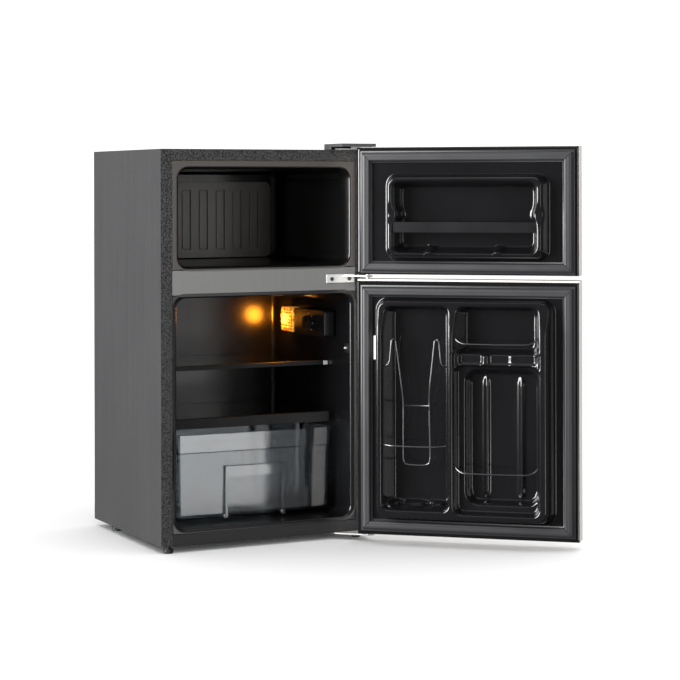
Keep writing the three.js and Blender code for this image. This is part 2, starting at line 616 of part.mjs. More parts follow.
function drawer() {
  const back = HUMP_Y - DRAWER_BACK_GAP;
  const bottom = FRIDGE_FLOOR + DRAWER_FLOOR_RISE;
  const step = DRAWER_TOP_Z - DRAWER_BAND;
  const at = (z, inset, r) => ({
    z, x0: -SHELF_HALF + inset, x1: SHELF_HALF - inset, y0: DRAWER_FRONT_Y + inset, y1: back - inset, r,
  });
  const outer = draftedAlongZ([at(bottom, 7, 12), at(step, 3, 14), at(step + 1, 0, 15),
    at(DRAWER_TOP_Z, 0, 15)]);
  const inner = draftedAlongZ([at(bottom + DRAWER_WALL, 7, 12), at(step, 3, 14), at(step + 1, 0, 15),
    at(DRAWER_TOP_Z + 1, 0, 15)], -DRAWER_WALL);
  const ribPitch = 2 * (SHELF_HALF - DRAWER_RIB_MARGIN) / (DRAWER_RIBS - 1);
  const ribs = Array.from({ length: DRAWER_RIBS }, (_, i) => {
    const x = -SHELF_HALF + DRAWER_RIB_MARGIN + i * ribPitch;
    return block(x - 1.5, x + 1.5, back - DRAWER_WALL - 10, back - 3.5, bottom + 1, step - 4);
  });
  const front = DRAWER_FRONT_Y + 3;
  const half = DRAWER_HANDLE_HALF;
  const pullTop = DRAWER_TOP_Z - DRAWER_HANDLE_DROP;
  const pull = cut(
    block(-half, half, front - 6, front + 5, bottom, pullTop),
    block(-half + 5, half - 5, front - 7, front + 6, bottom - 1, pullTop - 23),
    inner,
  );
  const length = back - DRAWER_FRONT_Y;
  const [slotRow, slotHalf] = [length * 0.194, length * 0.121];
  const slotPitch = 2 * (SHELF_HALF - DRAWER_SLOT_MARGIN) / (DRAWER_SLOTS - 1);
  const slots = both((row) => Array.from({ length: DRAWER_SLOTS }, (_, i) => {
    const x = -SHELF_HALF + DRAWER_SLOT_MARGIN + i * slotPitch;
    const y = (DRAWER_FRONT_Y + back) / 2 + row * slotRow;
    return block(x - 2.5, x + 2.5, y - slotHalf, y + slotHalf, bottom - 1, bottom + DRAWER_WALL + 1);
  })).flat();
  return cut(join(cut(outer, inner), ...ribs, pull), ...slots);
}

add(cabinet, "crisper_drawer", drawer(), CLEAR);

// ---------------------------------------------------------------- lamp, thermostat and light switch
const housingBack = HOUSING_FRONT_Y + HOUSING_LENGTH;
const housingSide = FRIDGE_HALF - FRIDGE_LIP - FRIDGE_DRAFT + 1; // clear of the drafted wall
const knobY = HOUSING_FRONT_Y + KNOB_FROM_FRONT;
const knobZ = (HOUSING_TOP + HOUSING_BOTTOM) / 2;
const lensInset = 2;

/** A tray with rounded corners that opens towards the side wall. */
function wallTray(x0, x1, y0, y1, z0, z1, r, wall) {
  const ring = (x, grow) => roundedRect(y0 - grow, y1 + grow, z0 - grow, z1 + grow, r + grow)
    .map(([y, z]) => new THREE.Vector3(x, y, z));
  return cut(loft([ring(x0, 0), ring(x1, 0)]), loft([ring(x0 + wall, -wall), ring(x1 + 1, -wall)]));
}

add(cabinet, "thermostat_housing", cut(
  wallTray(HOUSING_REACH, housingSide, HOUSING_FRONT_Y, housingBack, HOUSING_BOTTOM, HOUSING_TOP, 7,
    HOUSING_WALL),
  cylinder("x", KNOB_SHAFT + PIN_CLEARANCE, HOUSING_REACH - 1, HOUSING_REACH + HOUSING_WALL + 1, knobY, knobZ),
), BLACK_GLOSS);
add(cabinet, "lamp_lens", wallTray(HOUSING_REACH + lensInset, housingSide, housingBack + GAP,
  housingBack + GAP + LENS_LENGTH, HOUSING_BOTTOM + lensInset, HOUSING_TOP - lensInset, 9, LENS_WALL), AMBER);

function bulb() {
  const x = (HOUSING_REACH + housingSide) / 2 + 1;
  const y0 = housingBack + 8;
  const r = BULB_RADIUS;
  const profile = [[0, 0], [5, 0], [5, 12], [r - 1, 20], [r, 27], [r - 1.5, 34], [r - 5, 38], [0, 39]];
  const shape = new THREE.LatheGeometry(profile.map(([a, b]) => new THREE.Vector2(a, b)), 16);
  return solid(shape.translate(x, y0, knobZ));
}

function knob() {
  const face = HOUSING_REACH - 0.6;
  const disc = cylinder("x", KNOB_RADIUS, face - KNOB_THICK, face, knobY, knobZ, 28);
  const pointer = block(face - KNOB_THICK - 1.5, face, knobY - 1.5, knobY + 1.5, knobZ, knobZ + KNOB_RADIUS - 1);
  return join(disc, pointer, cylinder("x", KNOB_SHAFT, face - 1, HOUSING_REACH + 7, knobY, knobZ, 16));
}

add(cabinet, "lamp_bulb", bulb(), AMBER);
add(cabinet, "thermostat",
  block(HOUSING_REACH + 7.5, housingSide - 1, knobY - 20, knobY + 20, knobZ - 16, knobZ + 16), GALVANISED);
add(cabinet, "thermostat_knob", knob(), BLACK_MATT);

const plungerHole = PLUNGER_RADIUS + PIN_CLEARANCE;
add(cabinet, "light_switch_body", cut(
  switchSpace(switchFace, 0),
  cylinder("x", plungerHole, switchFace - 1, switchFace + 13, SWITCH_Y, SWITCH_Z, 14),
), BLACK_MATT);
add(cabinet, "light_switch_plunger", cylinder("x", PLUNGER_RADIUS, switchFace - PLUNGER_OUT, switchFace + 8,
  SWITCH_Y, SWITCH_Z, 14), SILVER_PLASTIC);

// ---------------------------------------------------------------- doors
const innerY = DOOR_INNER_Y;
const pocketY = DOOR_INNER_Y - POCKET_FLOOR;
const PROUD = 2; // how far cutting tools reach past the surface they cut

/** A pocket or dike section at a depth, from its four sides. */
const at = (y, x0, x1, z0, z1, r) => ({ y, x0, x1, z0, z1, r });

/** Carries a drafted shape's last section on by a little, so that a cut leaves no skin. */
function carriedOn(sections) {
  const last = sections[sections.length - 1];
  return [...sections, { ...last, y: last.y + PROUD }];
}

/**
 * Everything behind a door's inner surface, that surface lowered by t: a slab, a raised dike and
 * the pockets sunk into it.
 */
function doorCore(door, t) {
  const side = t ? HALF + PROUD : HALF - 0.5;
  const [low, high] = t ? [door.z0 - PROUD, door.z1 + PROUD] : [door.rimLow, door.rimHigh];
  const slab = block(-side, side, DOOR_OUTER_Y, innerY - t, low, high);
  const dike = draftedAlongY(door.dike.map((s, i) => ({ ...s, y: i ? s.y - t : s.y })), -t);
  const pockets = door.pockets.map((pocket) => draftedAlongY(
    carriedOn(pocket).map((s, i) => ({ ...s, y: i ? s.y : s.y - t })), t));
  return cut(join(slab, dike), ...pockets);
}

function doorLiner(door) {
  const back = block(-2 * HALF, 2 * HALF, DOOR_OUTER_Y - 1, pocketY - DOOR_LINER, -HALF, 2 * CABINET_HEIGHT);
  const sheet = cut(doorCore(door, 0), doorCore(door, DOOR_LINER), back);
  return door.ribs.length ? join(sheet, ...door.ribs) : sheet;
}

function doorFoam(door) {
  const x = HALF - DOOR_SHEET - GAP;
  const slab = block(-x, x, DOOR_OUTER_Y + DOOR_SHEET + GAP, HALF, door.z0 + DOOR_CAP + GAP,
    door.z1 - DOOR_CAP - GAP);
  return doorCore(door, DOOR_LINER + GAP).intersect(slab);
}

function doorSkin(door) {
  const rear = innerY - DOOR_LINER - GAP;
  return cut(
    block(-HALF, HALF, DOOR_OUTER_Y, rear, door.z0, door.z1),
    block(-HALF + DOOR_SHEET, HALF - DOOR_SHEET, DOOR_OUTER_Y + DOOR_SHEET, rear + 1, door.z0 - 1, door.z1 + 1),
  );
}

function doorCap(door, top) {
  const x = HALF - DOOR_SHEET - GAP;
  const [z0, z1] = top ? [door.z1 - DOOR_CAP, door.z1] : [door.z0, door.z0 + DOOR_CAP];
  return cut(
    block(-x, x, DOOR_OUTER_Y + DOOR_SHEET + GAP, innerY - DOOR_LINER - GAP, z0, z1),
    cylinder("z", PIN_RADIUS + PIN_CLEARANCE, z0 - 1, z1 + 1, PIN_X, PIN_Y),
  );
}

function frame(half, z0, z1, width, y0, y1) {
  return cut(
    block(-half, half, y0, y1, z0, z1),
    block(-half + width, half - width, y0 - 1, y1 + 1, z0 + width, z1 - width),
  );
}

function gasket(door) {
  const half = HALF - GASKET_INSET;
  const lip = GASKET_LIP_INSET;
  const root = innerY + GAP;
  return join(
    frame(half, door.sealLow, door.sealHigh, GASKET_WIDTH, root, root + GASKET_BASE),
    frame(half - lip, door.sealLow + lip, door.sealHigh - lip, GASKET_WIDTH - 2 * lip, root + 1, -GASKET_CLEAR),
  );
}

function addDoor(group, name, door) {
  add(group, `${name}_skin`, doorSkin(door), SILVER);
  add(group, `${name}_top_cap`, doorCap(door, true), SILVER_PLASTIC);
  add(group, `${name}_bottom_cap`, doorCap(door, false), SILVER_PLASTIC);
  add(group, `${name}_foam`, doorFoam(door), FOAM);
  add(group, `${name}_liner`, doorLiner(door), BLACK_GLOSS);
  add(group, `${name}_gasket`, gasket(door), RUBBER);
  const onPin = new THREE.Group();
  onPin.position.set(PIN_X, PIN_Y, 0);
  onPin.rotation.z = THREE.MathUtils.degToRad(DOOR_OPEN_DEG);
  group.position.set(-PIN_X, -PIN_Y, 0);
  onPin.add(group);
  fridge.add(onPin);
}

// Freezer door: one wide pocket behind a raised frame, with a bar across its mouth
const FREEZER_DIKE_Y = 22;
const FREEZER_POCKET_HALF = FREEZER_HALF - 44.3;
const freezerZ0 = DOOR_SPLIT_Z + DOOR_SPLIT_GAP;
const freezerPocket = [
  at(pocketY, -FREEZER_POCKET_HALF + 11, FREEZER_POCKET_HALF - 11, freezerZ0 + 59, DOOR_TOP - 84, 12),
  at(FREEZER_DIKE_Y, -FREEZER_POCKET_HALF, FREEZER_POCKET_HALF, freezerZ0 + 47, DOOR_TOP - 74, 16),
];
const freezer = {
  z0: freezerZ0,
  z1: DOOR_TOP,
  rimLow: freezerZ0 + 0.5,
  rimHigh: DOOR_TOP - 0.5,
  sealLow: freezerZ0 + GASKET_INSET_RAIL,
  sealHigh: DOOR_TOP - GASKET_INSET,
  dike: [
    ...[pocketY, innerY].map((y) => at(y, -FREEZER_POCKET_HALF - 21, FREEZER_POCKET_HALF + 17,
      freezerZ0 + 32, DOOR_TOP - 60, 22)),
    at(FREEZER_DIKE_Y, -FREEZER_POCKET_HALF - 10, FREEZER_POCKET_HALF + 10, freezerZ0 + 42, DOOR_TOP - 65, 20),
  ],
  pockets: [freezerPocket],
  ribs: [],
};
const rackBarZ = freezerZ0 + 90;
const rackBarY = FREEZER_DIKE_Y - 6;
const rackBar = draftedAlongY(freezerPocket, -GAP).intersect(
  block(-HALF, HALF, rackBarY - RACK_BAR_THICK, rackBarY, rackBarZ, rackBarZ + RACK_BAR_HEIGHT));
addDoor(freezerDoor, "freezer_door", freezer);
add(freezerDoor, "freezer_door_rack_bar", rackBar, BLACK_MATT);

// Fridge door: a can column on the hinge side, a shelf and a bottle bay on the other
const DIKE_Y = 26;
const STEP_Y = 0;
const LEDGE_Y = 18;
const CAN_WIDTH = 143.4;
const CAN_SIDE = 29; // from the compartment's side to the column
const BAY_SIDE = 47.5;
const DIVIDER = 10.6;
const CAN_X = [FRIDGE_HALF - CAN_SIDE - CAN_WIDTH, FRIDGE_HALF - CAN_SIDE];
const BAY_X = [-FRIDGE_HALF + BAY_SIDE, CAN_X[0] - DIVIDER];
const BAY_WIDTH = BAY_X[1] - BAY_X[0];
const LEDGE_Z = [-177, -158]; // shelf between the two bays, from the door's top edge
const doorLow = DOOR_BOTTOM;
const doorHigh = DOOR_SPLIT_Z;
const canFloor = doorLow + 60;
const bayTop = doorHigh - 54;
const ledgeLow = doorHigh + LEDGE_Z[0];
const ledgeHigh = doorHigh + LEDGE_Z[1];
const bottleFloor = doorLow + 73;
const bottleTop = ledgeLow - 8;

const RIB_SHARES = [0.6474, 0.2397]; // places across the bay's width
const DIMPLE_SHARES = [0.1736, 0.4545, 0.7961];

function bottleRibs() {
  return RIB_SHARES.map((share) => {
    const x = BAY_X[0] + share * BAY_WIDTH;
    return block(x - 4.5, x + 4.5, pocketY - 1, pocketY + 5, bottleFloor + 14, bottleTop - 18);
  });
}

const dimples = DIMPLE_SHARES.map((share) => {
  const [x, half] = [BAY_X[0] + share * BAY_WIDTH, 0.1378 * BAY_WIDTH];
  return [at(LEDGE_Y - 6, x - half + 3, x + half - 3, ledgeLow + 4.5, ledgeHigh - 3, 4),
    at(LEDGE_Y, x - half, x + half, ledgeLow + 2.5, ledgeHigh - 1.5, 5)];
});

const canColumn = [
  at(pocketY, CAN_X[0] + 11, CAN_X[1] - 17, doorLow + 65, bayTop - 8, 12),
  at(DIKE_Y, ...CAN_X, canFloor, bayTop, 14),
];
const shelfBay = [
  at(pocketY, BAY_X[0] + 14, BAY_X[1] - 19, ledgeHigh + 12, bayTop - 8, 12),
  at(DIKE_Y, ...BAY_X, ledgeHigh, bayTop, 14),
];
const bottleStep = [
  at(STEP_Y, BAY_X[0] + 4, BAY_X[1] - 6, doorLow + 59, ledgeLow - 3, 16),
  at(DIKE_Y, ...BAY_X, doorLow + 55, ledgeLow, 16),
];
const bottleBay = [
  at(pocketY, BAY_X[0] + 18, BAY_X[1] - 33, bottleFloor + 9, bottleTop - 13, 22),
  at(STEP_Y, BAY_X[0] + 8, BAY_X[1] - 24, bottleFloor, bottleTop, 28),
];
const ledgeRelief = [LEDGE_Y, DIKE_Y].map((y) =>
  at(y, ...BAY_X, ledgeLow - 20, ledgeHigh + 20, 3));

const lower = {
  z0: doorLow,
  z1: doorHigh,
  rimLow: doorLow + 0.5,
  rimHigh: doorHigh - 4,
  sealLow: doorLow + GASKET_INSET,
  sealHigh: doorHigh - GASKET_INSET_TOP,
  dike: [
    ...[pocketY, innerY].map((y) => at(y, -FRIDGE_HALF + 19, FRIDGE_HALF - 13, doorLow + 37, bayTop + 13, 24)),
    at(DIKE_Y, -FRIDGE_HALF + 32, FRIDGE_HALF - 18, doorLow + 42, bayTop + 7, 22),
  ],
  pockets: [canColumn, shelfBay, bottleStep, bottleBay, ledgeRelief, ...dimples],
  ribs: bottleRibs(),
};
addDoor(fridgeDoor, "fridge_door", lower);

// Wires across the pockets' mouths
const canMiddle = (CAN_X[0] + CAN_X[1]) / 2;

/** The inner faces of a pocket at a depth, moved in by the wire's clearance. */
function mouth(pocket, y) {
  const [deep, shallow] = pocket;
  const share = (y - deep.y) / (shallow.y - deep.y);
  return [deep.x0 + (shallow.x0 - deep.x0) * share + GAP, deep.x1 + (shallow.x1 - deep.x1) * share - GAP];
}

/** A wire that dips in the middle and stands out in front of what it holds back. */
function retainingWire(pocket, y, z, dip, proud) {
  const [x0, x1] = mouth(pocket, y);
  return wire([[x0 + 1.2, y, z], [x0 + 6, y + proud * 0.3, z - dip * 0.5], [x0 + 22, y + proud, z - dip],
    [(x0 + x1) / 2, y + proud, z - dip - 1], [x1 - 22, y + proud, z - dip],
    [x1 - 6, y + proud * 0.3, z - dip * 0.5], [x1 - 1.2, y, z]], WIRE_RADIUS, 28);
}

const RACK_TOP = 70; // from the column's top to the rack's hooks
const RACK_FOOT = 94; // from the column's floor to the loop's foot
const LOW_WIRE = 139;

/** The can rack: two hooks over the column's sides and one long loop between them. */
function canRack() {
  const y = 16;
  const top = bayTop - RACK_TOP;
  const drop = top - canFloor - RACK_FOOT;
  const [waist, belly, toe] = [0.36 * drop, 0.532 * drop, 0.951 * drop];
  const [x0, x1] = mouth(canColumn, y);
  const half = (side) => {
    const x = (d) => canMiddle + side * d;
    const hook = side < 0 ? x0 + 0.8 : x1 - 0.8;
    return [[hook, y, top - 58], [x(56), y, top - 52], [x(51), y, top - 4], [x(47), y, top],
      [x(42), y, top - 4], [x(31), y - 4, top - waist], [x(28), y - 10, top - belly],
      [x(29), y - 14, top - toe]];
  };
  const right = half(1);
  const left = half(-1).reverse();
  const foot = [20, -20].map((d) => [canMiddle + d, y - 14, top - drop]);
  const loop = wire([...right, ...foot, ...left], WIRE_RADIUS, 84, 0.3);
  const bridge = wire([-28, 28].map((d) => [canMiddle + d, y - 10, top - belly]), WIRE_RADIUS, 2);
  return join(loop, bridge);
}

add(fridgeDoor, "can_rack_wire", canRack(), STAINLESS);
add(fridgeDoor, "can_column_low_wire", retainingWire(canColumn, 22, canFloor + LOW_WIRE, 3, 8), STAINLESS);
add(fridgeDoor, "shelf_bay_wire", retainingWire(shelfBay, 20, bayTop - 65, 13, 6), STAINLESS);
add(fridgeDoor, "bottle_bay_wire", retainingWire(bottleStep, 20, doorLow + 158, 15, 10), STAINLESS);
const STRIKER_CLEAR = 0.6; // from the striker to the plunger with the door shut
add(fridgeDoor, "light_switch_striker", cut(
  block(FRIDGE_HALF - 22, switchFace - PLUNGER_OUT - STRIKER_CLEAR, innerY + GAP + GASKET_BASE, SWITCH_Y + 4,
    SWITCH_Z - 15, SWITCH_Z + 35),
  draftedAlongY(lower.dike, GAP),
), SILVER_PLASTIC);

// ---------------------------------------------------------------- hinges
function screwPlaces() {
  const z = (DOOR_SPLIT_Z + DOOR_SPLIT_GAP / 2) - 6.5;
  return [[PIN_X - 67, z], [PIN_X - 25, z]];
}

function topBracket() {
  const z = CABINET_HEIGHT + GAP;
  const over = DOOR_TOP + HINGE_LIFT;
  return join(
    block(PIN_X - 55, PIN_X + 10, 4, 28, z, z + HINGE_PLATE),
    block(PIN_X - 16, PIN_X + 10, 4, 7, z, over + HINGE_PLATE),
    block(PIN_X - 12, PIN_X + 10, PIN_Y - 9, 7, over, over + HINGE_PLATE),
  );
}

function topCover() {
  const [x0, x1] = [PIN_X - HINGE_COVER_REACH, PIN_X + HINGE_COVER_SIDE];
  const [y0, y1] = [PIN_Y - 13, HINGE_COVER_BACK_Y];
  const wall = HINGE_COVER_WALL;
  const top = DOOR_TOP + HINGE_LIFT + HINGE_PLATE + HINGE_COVER_ROOM + wall;
  const ahead = DOOR_TOP + 3 * GAP;
  return cut(
    block(x0, x1, y0, y1, CABINET_HEIGHT + GAP, top),
    block(x0 - 1, x1 + 1, y0 - 1, -1, CABINET_HEIGHT - 1, ahead),
    block(x0 + wall, x1 - wall, y0 + wall, y1 - wall, CABINET_HEIGHT - 1, top - wall),
  );
}

function middleBracket() {
  const z = DOOR_SPLIT_Z + DOOR_SPLIT_GAP / 2;
  const reach = SCREW_HEAD + 9;
  const plate = block(screwPlaces()[0][0] - reach, PIN_X - 13, -GAP - 2.5, -GAP, z - 14.5, z + 3.5);
  const arm = plateXY([[PIN_X - 40, -GAP], [PIN_X - 40, -6], [PIN_X - 12, PIN_Y - 2], [PIN_X - 7, PIN_Y - 9],
    [PIN_X + 7, PIN_Y - 9], [PIN_X + 9, PIN_Y], [PIN_X + 4, PIN_Y + 12], [PIN_X - 13, -GAP]],
  z - HINGE_ARM / 2, z + HINGE_ARM / 2);
  return cut(join(plate, arm),
    cylinder("z", PIN_RADIUS + PIN_CLEARANCE, z - 5, z + 5, PIN_X, PIN_Y),
    ...screwPlaces().map(([x, zs]) => cylinder("y", SCREW_RADIUS + PIN_CLEARANCE, -5, 1, x, zs, 12)));
}

function bottomBracket() {
  const z = -GAP - HINGE_PLATE;
  return cut(
    plateXY([[PIN_X - 61, 46], [PIN_X - 61, -2], [PIN_X - 14, PIN_Y - 4], [PIN_X - 8, PIN_Y - 11],
      [PIN_X + 9, PIN_Y - 11], [PIN_X + 13, PIN_Y], [PIN_X + 13, 46]], z, z + HINGE_PLATE),
    cylinder("z", 5.3, z - 1, 1, HALF - FOOT_INSET_X, FOOT_FRONT_Y),
  );
}

function screw([x, z]) {
  const front = -GAP - 2.5 - GAP;
  return join(
    cylinder("y", SCREW_HEAD, front - 2.2, front, x, z, 18),
    cylinder("y", SCREW_RADIUS, front - 1, SHEET + 9, x, z, 12),
  );
}

const middleZ = DOOR_SPLIT_Z + DOOR_SPLIT_GAP / 2;
add(cabinet, "top_hinge_bracket", topBracket(), STAINLESS);
add(cabinet, "top_hinge_cover", topCover(), RAIL_PAINT);
add(cabinet, "top_hinge_pin",
  cylinder("z", PIN_RADIUS, DOOR_TOP - PIN_DEPTH, DOOR_TOP + HINGE_LIFT - GAP, PIN_X, PIN_Y), STAINLESS);
add(cabinet, "middle_hinge_bracket", middleBracket(), STAINLESS);
add(cabinet, "middle_hinge_pin", cylinder("z", PIN_RADIUS, middleZ - DOOR_SPLIT_GAP / 2 - PIN_DEPTH,
  middleZ + DOOR_SPLIT_GAP / 2 + PIN_DEPTH, PIN_X, PIN_Y), STAINLESS);
screwPlaces().forEach((place, i) => add(cabinet, `middle_hinge_screw_${i + 1}`, screw(place), STAINLESS));
add(cabinet, "bottom_hinge_bracket", bottomBracket(), STAINLESS);
add(cabinet, "bottom_hinge_pin", cylinder("z", PIN_RADIUS, 0, DOOR_BOTTOM + PIN_DEPTH, PIN_X, PIN_Y), STAINLESS);

// ---------------------------------------------------------------- feet
function foot(x, y, top) {
  const knurl = Array.from({ length: 24 }, (_, i) => {
    const [angle, r] = [i * Math.PI / 12, i % 2 ? FOOT_RADIUS : FOOT_RADIUS - 0.8];
    return [x + r * Math.cos(angle), y + r * Math.sin(angle)];
  });
  return join(
    cylinder("z", FOOT_RADIUS - 1.5, -FOOT_HEIGHT, -FOOT_HEIGHT + 3, x, y, 24),
    plateXY(knurl, -FOOT_HEIGHT + 2, -FOOT_HEIGHT + 9),
    cylinder("z", 5, -FOOT_HEIGHT + 8, top, x, y, 16),
  );
}

for (const [end, y] of [["front", FOOT_FRONT_Y], ["rear", CABINET_DEPTH - FOOT_REAR_INSET]]) {
  for (const [side, sign] of [["left", -1], ["right", 1]]) {
    add(cabinet, `${end}_${side}_foot`, foot(sign * (HALF - FOOT_INSET_X), y, -GAP), RUBBER);
  }
}

// ---------------------------------------------------------------- origin
// The origin is on the floor, in the middle of the outline of the fridge with its doors open.
const model = new THREE.Group();
model.add(fridge);
model.updateMatrixWorld(true);
const outline = new THREE.Box3().setFromObject(fridge, true);
const middle = outline.getCenter(new THREE.Vector3());
fridge.position.set(-middle.x, -middle.y, -outline.min.z);

export default model;
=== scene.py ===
# %% [markdown]
# # A compact refrigerator with both doors open
# The working model gives every sheet, liner, hinge and shelf its place and its motion. This lesson
# makes the surfaces that the eye judges: formed plastic with soft edges, a sprung rubber gasket,
# glass, a clear drawer, painted and brushed steel, and a lamp that glows amber.

# %% Loading the working model
import json
import math
import bpy
import numpy as np
from mathutils import Matrix, Vector


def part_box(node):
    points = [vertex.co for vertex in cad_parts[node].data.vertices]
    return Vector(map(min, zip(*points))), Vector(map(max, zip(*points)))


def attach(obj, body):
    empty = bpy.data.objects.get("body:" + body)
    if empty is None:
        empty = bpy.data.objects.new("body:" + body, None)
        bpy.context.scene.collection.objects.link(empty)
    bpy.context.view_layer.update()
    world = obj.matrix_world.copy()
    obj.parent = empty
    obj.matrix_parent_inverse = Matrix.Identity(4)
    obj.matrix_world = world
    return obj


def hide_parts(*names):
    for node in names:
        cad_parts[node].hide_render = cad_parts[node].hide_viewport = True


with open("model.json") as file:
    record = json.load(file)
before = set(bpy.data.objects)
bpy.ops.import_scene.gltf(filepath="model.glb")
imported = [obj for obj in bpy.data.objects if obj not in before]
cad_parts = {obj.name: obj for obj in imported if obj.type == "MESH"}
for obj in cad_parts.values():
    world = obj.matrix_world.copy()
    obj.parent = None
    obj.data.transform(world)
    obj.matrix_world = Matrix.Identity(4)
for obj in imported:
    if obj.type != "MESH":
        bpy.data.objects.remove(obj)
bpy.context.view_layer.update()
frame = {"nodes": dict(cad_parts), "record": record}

# %% [markdown]
# ## A drawing frame for the cabinet
# A refrigerator is easiest to draw in millimetres from the middle of its front edge, as a maker's
# drawing is. Every place below is worked out from the boxes of the working model, so a changed
# cabinet moves the detail with it. Doors are drawn shut, and swung open about the hinge pin.

# %% The drawing frame
MM = 0.001
shell_low, shell_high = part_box("outer_shell")
ORIGIN = Vector(((shell_low.x + shell_high.x) / 2, shell_low.y, shell_low.z))
HALF = (shell_high.x - shell_low.x) / 2 / MM
DEPTH = (shell_high.y - shell_low.y) / MM
HEIGHT = (shell_high.z - shell_low.z) / MM
pin_low, pin_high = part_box("middle_hinge_pin")
PIN = Vector(((pin_low.x + pin_high.x) / 2, (pin_low.y + pin_high.y) / 2, 0))
hinges = {j["name"]: j for j in frame["record"]["behaviour"]["joints"]}
OPEN = math.radians(-hinges["fridge_door_hinge"]["range_deg"][0])
SWING = Matrix.Translation(PIN) @ Matrix.Rotation(OPEN, 4, "Z") @ Matrix.Translation(-PIN)
DRAWING = Matrix.Translation(ORIGIN)


def drawn_box(node, shut=False):
    """A node's lowest and highest corners in drawing millimetres; shut turns a door back first."""
    back = SWING.inverted() if shut else Matrix.Identity(4)
    points = np.array([back @ v.co - ORIGIN for v in frame["nodes"][node].data.vertices]) / MM
    return Vector(points.min(0)), Vector(points.max(0))


print(f"cabinet {2 * HALF:.0f} x {DEPTH:.0f} x {HEIGHT:.0f} mm,",
      f"doors open {math.degrees(OPEN):.0f} degrees")

# %% [markdown]
# ## Camera
# A long lens from the left, a little above the middle of the cabinet, and held level. The view is
# moved down on the sensor by the shift, as with a view camera, so that the upright edges stay
# upright in the picture.

# %% The camera
SENSOR = 36.0
PICTURE = 680
FOCAL_PICTURE = 2004.84
CAMERA_FROM_CORNER = Vector((-1985.56, -3878.87, 749.77)) * MM
CAMERA_YAW = math.radians(26.48)
CAMERA_ROLL = math.radians(-0.13)
VIEW_CENTRE = (343.62, 184.67)
CLIP_END = 100

corner = Vector((shell_high.x, shell_low.y, shell_low.z))
camera_data = bpy.data.cameras.new("view")
camera_data.sensor_width = SENSOR
camera_data.lens = FOCAL_PICTURE * SENSOR / PICTURE
camera_data.shift_x = (PICTURE / 2 - VIEW_CENTRE[0]) / PICTURE
camera_data.shift_y = (VIEW_CENTRE[1] - PICTURE / 2) / PICTURE
camera_data.clip_end = CLIP_END
camera = bpy.data.objects.new("view", camera_data)
bpy.context.collection.objects.link(camera)
camera.matrix_world = (
    Matrix.Translation(corner + CAMERA_FROM_CORNER)
    @ Matrix.Rotation(-CAMERA_YAW, 4, "Z")
    @ Matrix.Rotation(math.pi / 2, 4, "X")
    @ Matrix.Rotation(CAMERA_ROLL, 4, "Z")
)
bpy.context.scene.camera = camera
print(f"lens {camera_data.lens:.1f} mm")

# %% [markdown]
# ## Nodes and colours
# Colours are noted as they look on a screen and turned to the linear light that the renderer works
# in. One function adds any node, with its settings and what is plugged into it, so each finish
# below reads as a short list.

# %% Helpers for finishes
def linear(hex_colour):
    """A screen colour such as "6a6a6c" as linear light, with alpha 1."""
    parts = [int(hex_colour[i:i + 2], 16) / 255 for i in (0, 2, 4)]
    return (*[p / 12.92 if p <= 0.04045 else ((p + 0.055) / 1.055) ** 2.4 for p in parts], 1)


def node(tree, kind, inputs=None, **settings):
    """Adds a node: settings are its own, inputs give a constant or another node's output."""
    made = tree.nodes.new(kind)
    for name, value in settings.items():
        setattr(made, name, value)
    for name, value in (inputs or {}).items():
        if isinstance(value, bpy.types.NodeSocket):
            tree.links.new(value, made.inputs[name])
        else:
            made.inputs[name].default_value = value
    return made


def new_finish(name, **constants):
    """A material with one Principled shader and its constants; gives the material and its tree."""
    material = bpy.data.materials.new(name)
    material.use_nodes = True
    tree = material.node_tree
    tree.nodes.clear()
    sockets = {key.replace("_", " "): value for key, value in constants.items()}
    shader = node(tree, "ShaderNodeBsdfPrincipled", sockets, name="surface")
    node(tree, "ShaderNodeOutputMaterial", {"Surface": shader.outputs[0]})
    return material, tree


def plug(tree, socket, output):
    """Plugs an output into the surface's socket."""
    tree.links.new(output, tree.nodes["surface"].inputs[socket])


# %% [markdown]
# ## Pre-coated steel
# The cabinet is bent from steel that is painted before it is bent. Its charcoal coat is satin and
# lightly embossed, with a grain of two or three millimetres, and rolling leaves faint upright
# streaks. The grain is real height, too fine to model, so it is a bump; the streaks are a small
# change of colour. The flange round the front has a leather-like coat instead. Noise has patches
# of every size, so the cells of a Voronoi pattern, which are nearly all alike, give its grain. The
# grain's shade is painted into its colour: each cell is pale in the middle and dark along its rim.

# %% Painted steel
PAINT_INDEX = 1.5
STREAK_SIZE = 14
STREAK_STRETCH = (1, 1, 0.03)
PAINT_PATCH = 180
PAINT_SPREAD = 0.06  # how much the dullness varies to either side
PAINT_EMBOSS = 0.7
# where the grain's painted shade begins on a cell, and where it is darkest
CELL_MIDDLE, CELL_SHADED_RIM = 0.15, 0.7


def mixed(tree, factor, low, high):
    """A colour between two screen colours."""
    return node(tree, "ShaderNodeMix", {0: factor, 6: linear(low), 7: linear(high)},
                data_type="RGBA").outputs[2]


def between(tree, value, low, high):
    """A number from low to high as a pattern goes from dark to light."""
    return node(tree, "ShaderNodeMapRange",
                {"Value": value, "To Min": low, "To Max": high}).outputs[0]


def pattern(tree, size, stretch=(1, 1, 1), detail=2.0):
    """A cloudy pattern whose patches are about this many millimetres across."""
    spot = node(tree, "ShaderNodeTexCoord").outputs["Object"]
    drawn = node(tree, "ShaderNodeMapping", {"Vector": spot, "Scale": stretch})
    return node(tree, "ShaderNodeTexNoise",
                {"Vector": drawn.outputs[0], "Scale": 1 / (size * MM), "Detail": detail}).outputs[0]


def emboss(tree, pattern_output, height, strength):
    """Makes a pattern stand out of the surface by a height in millimetres."""
    bump = node(tree, "ShaderNodeBump",
                {"Height": pattern_output, "Strength": strength, "Distance": height * MM})
    plug(tree, "Normal", bump.outputs[0])


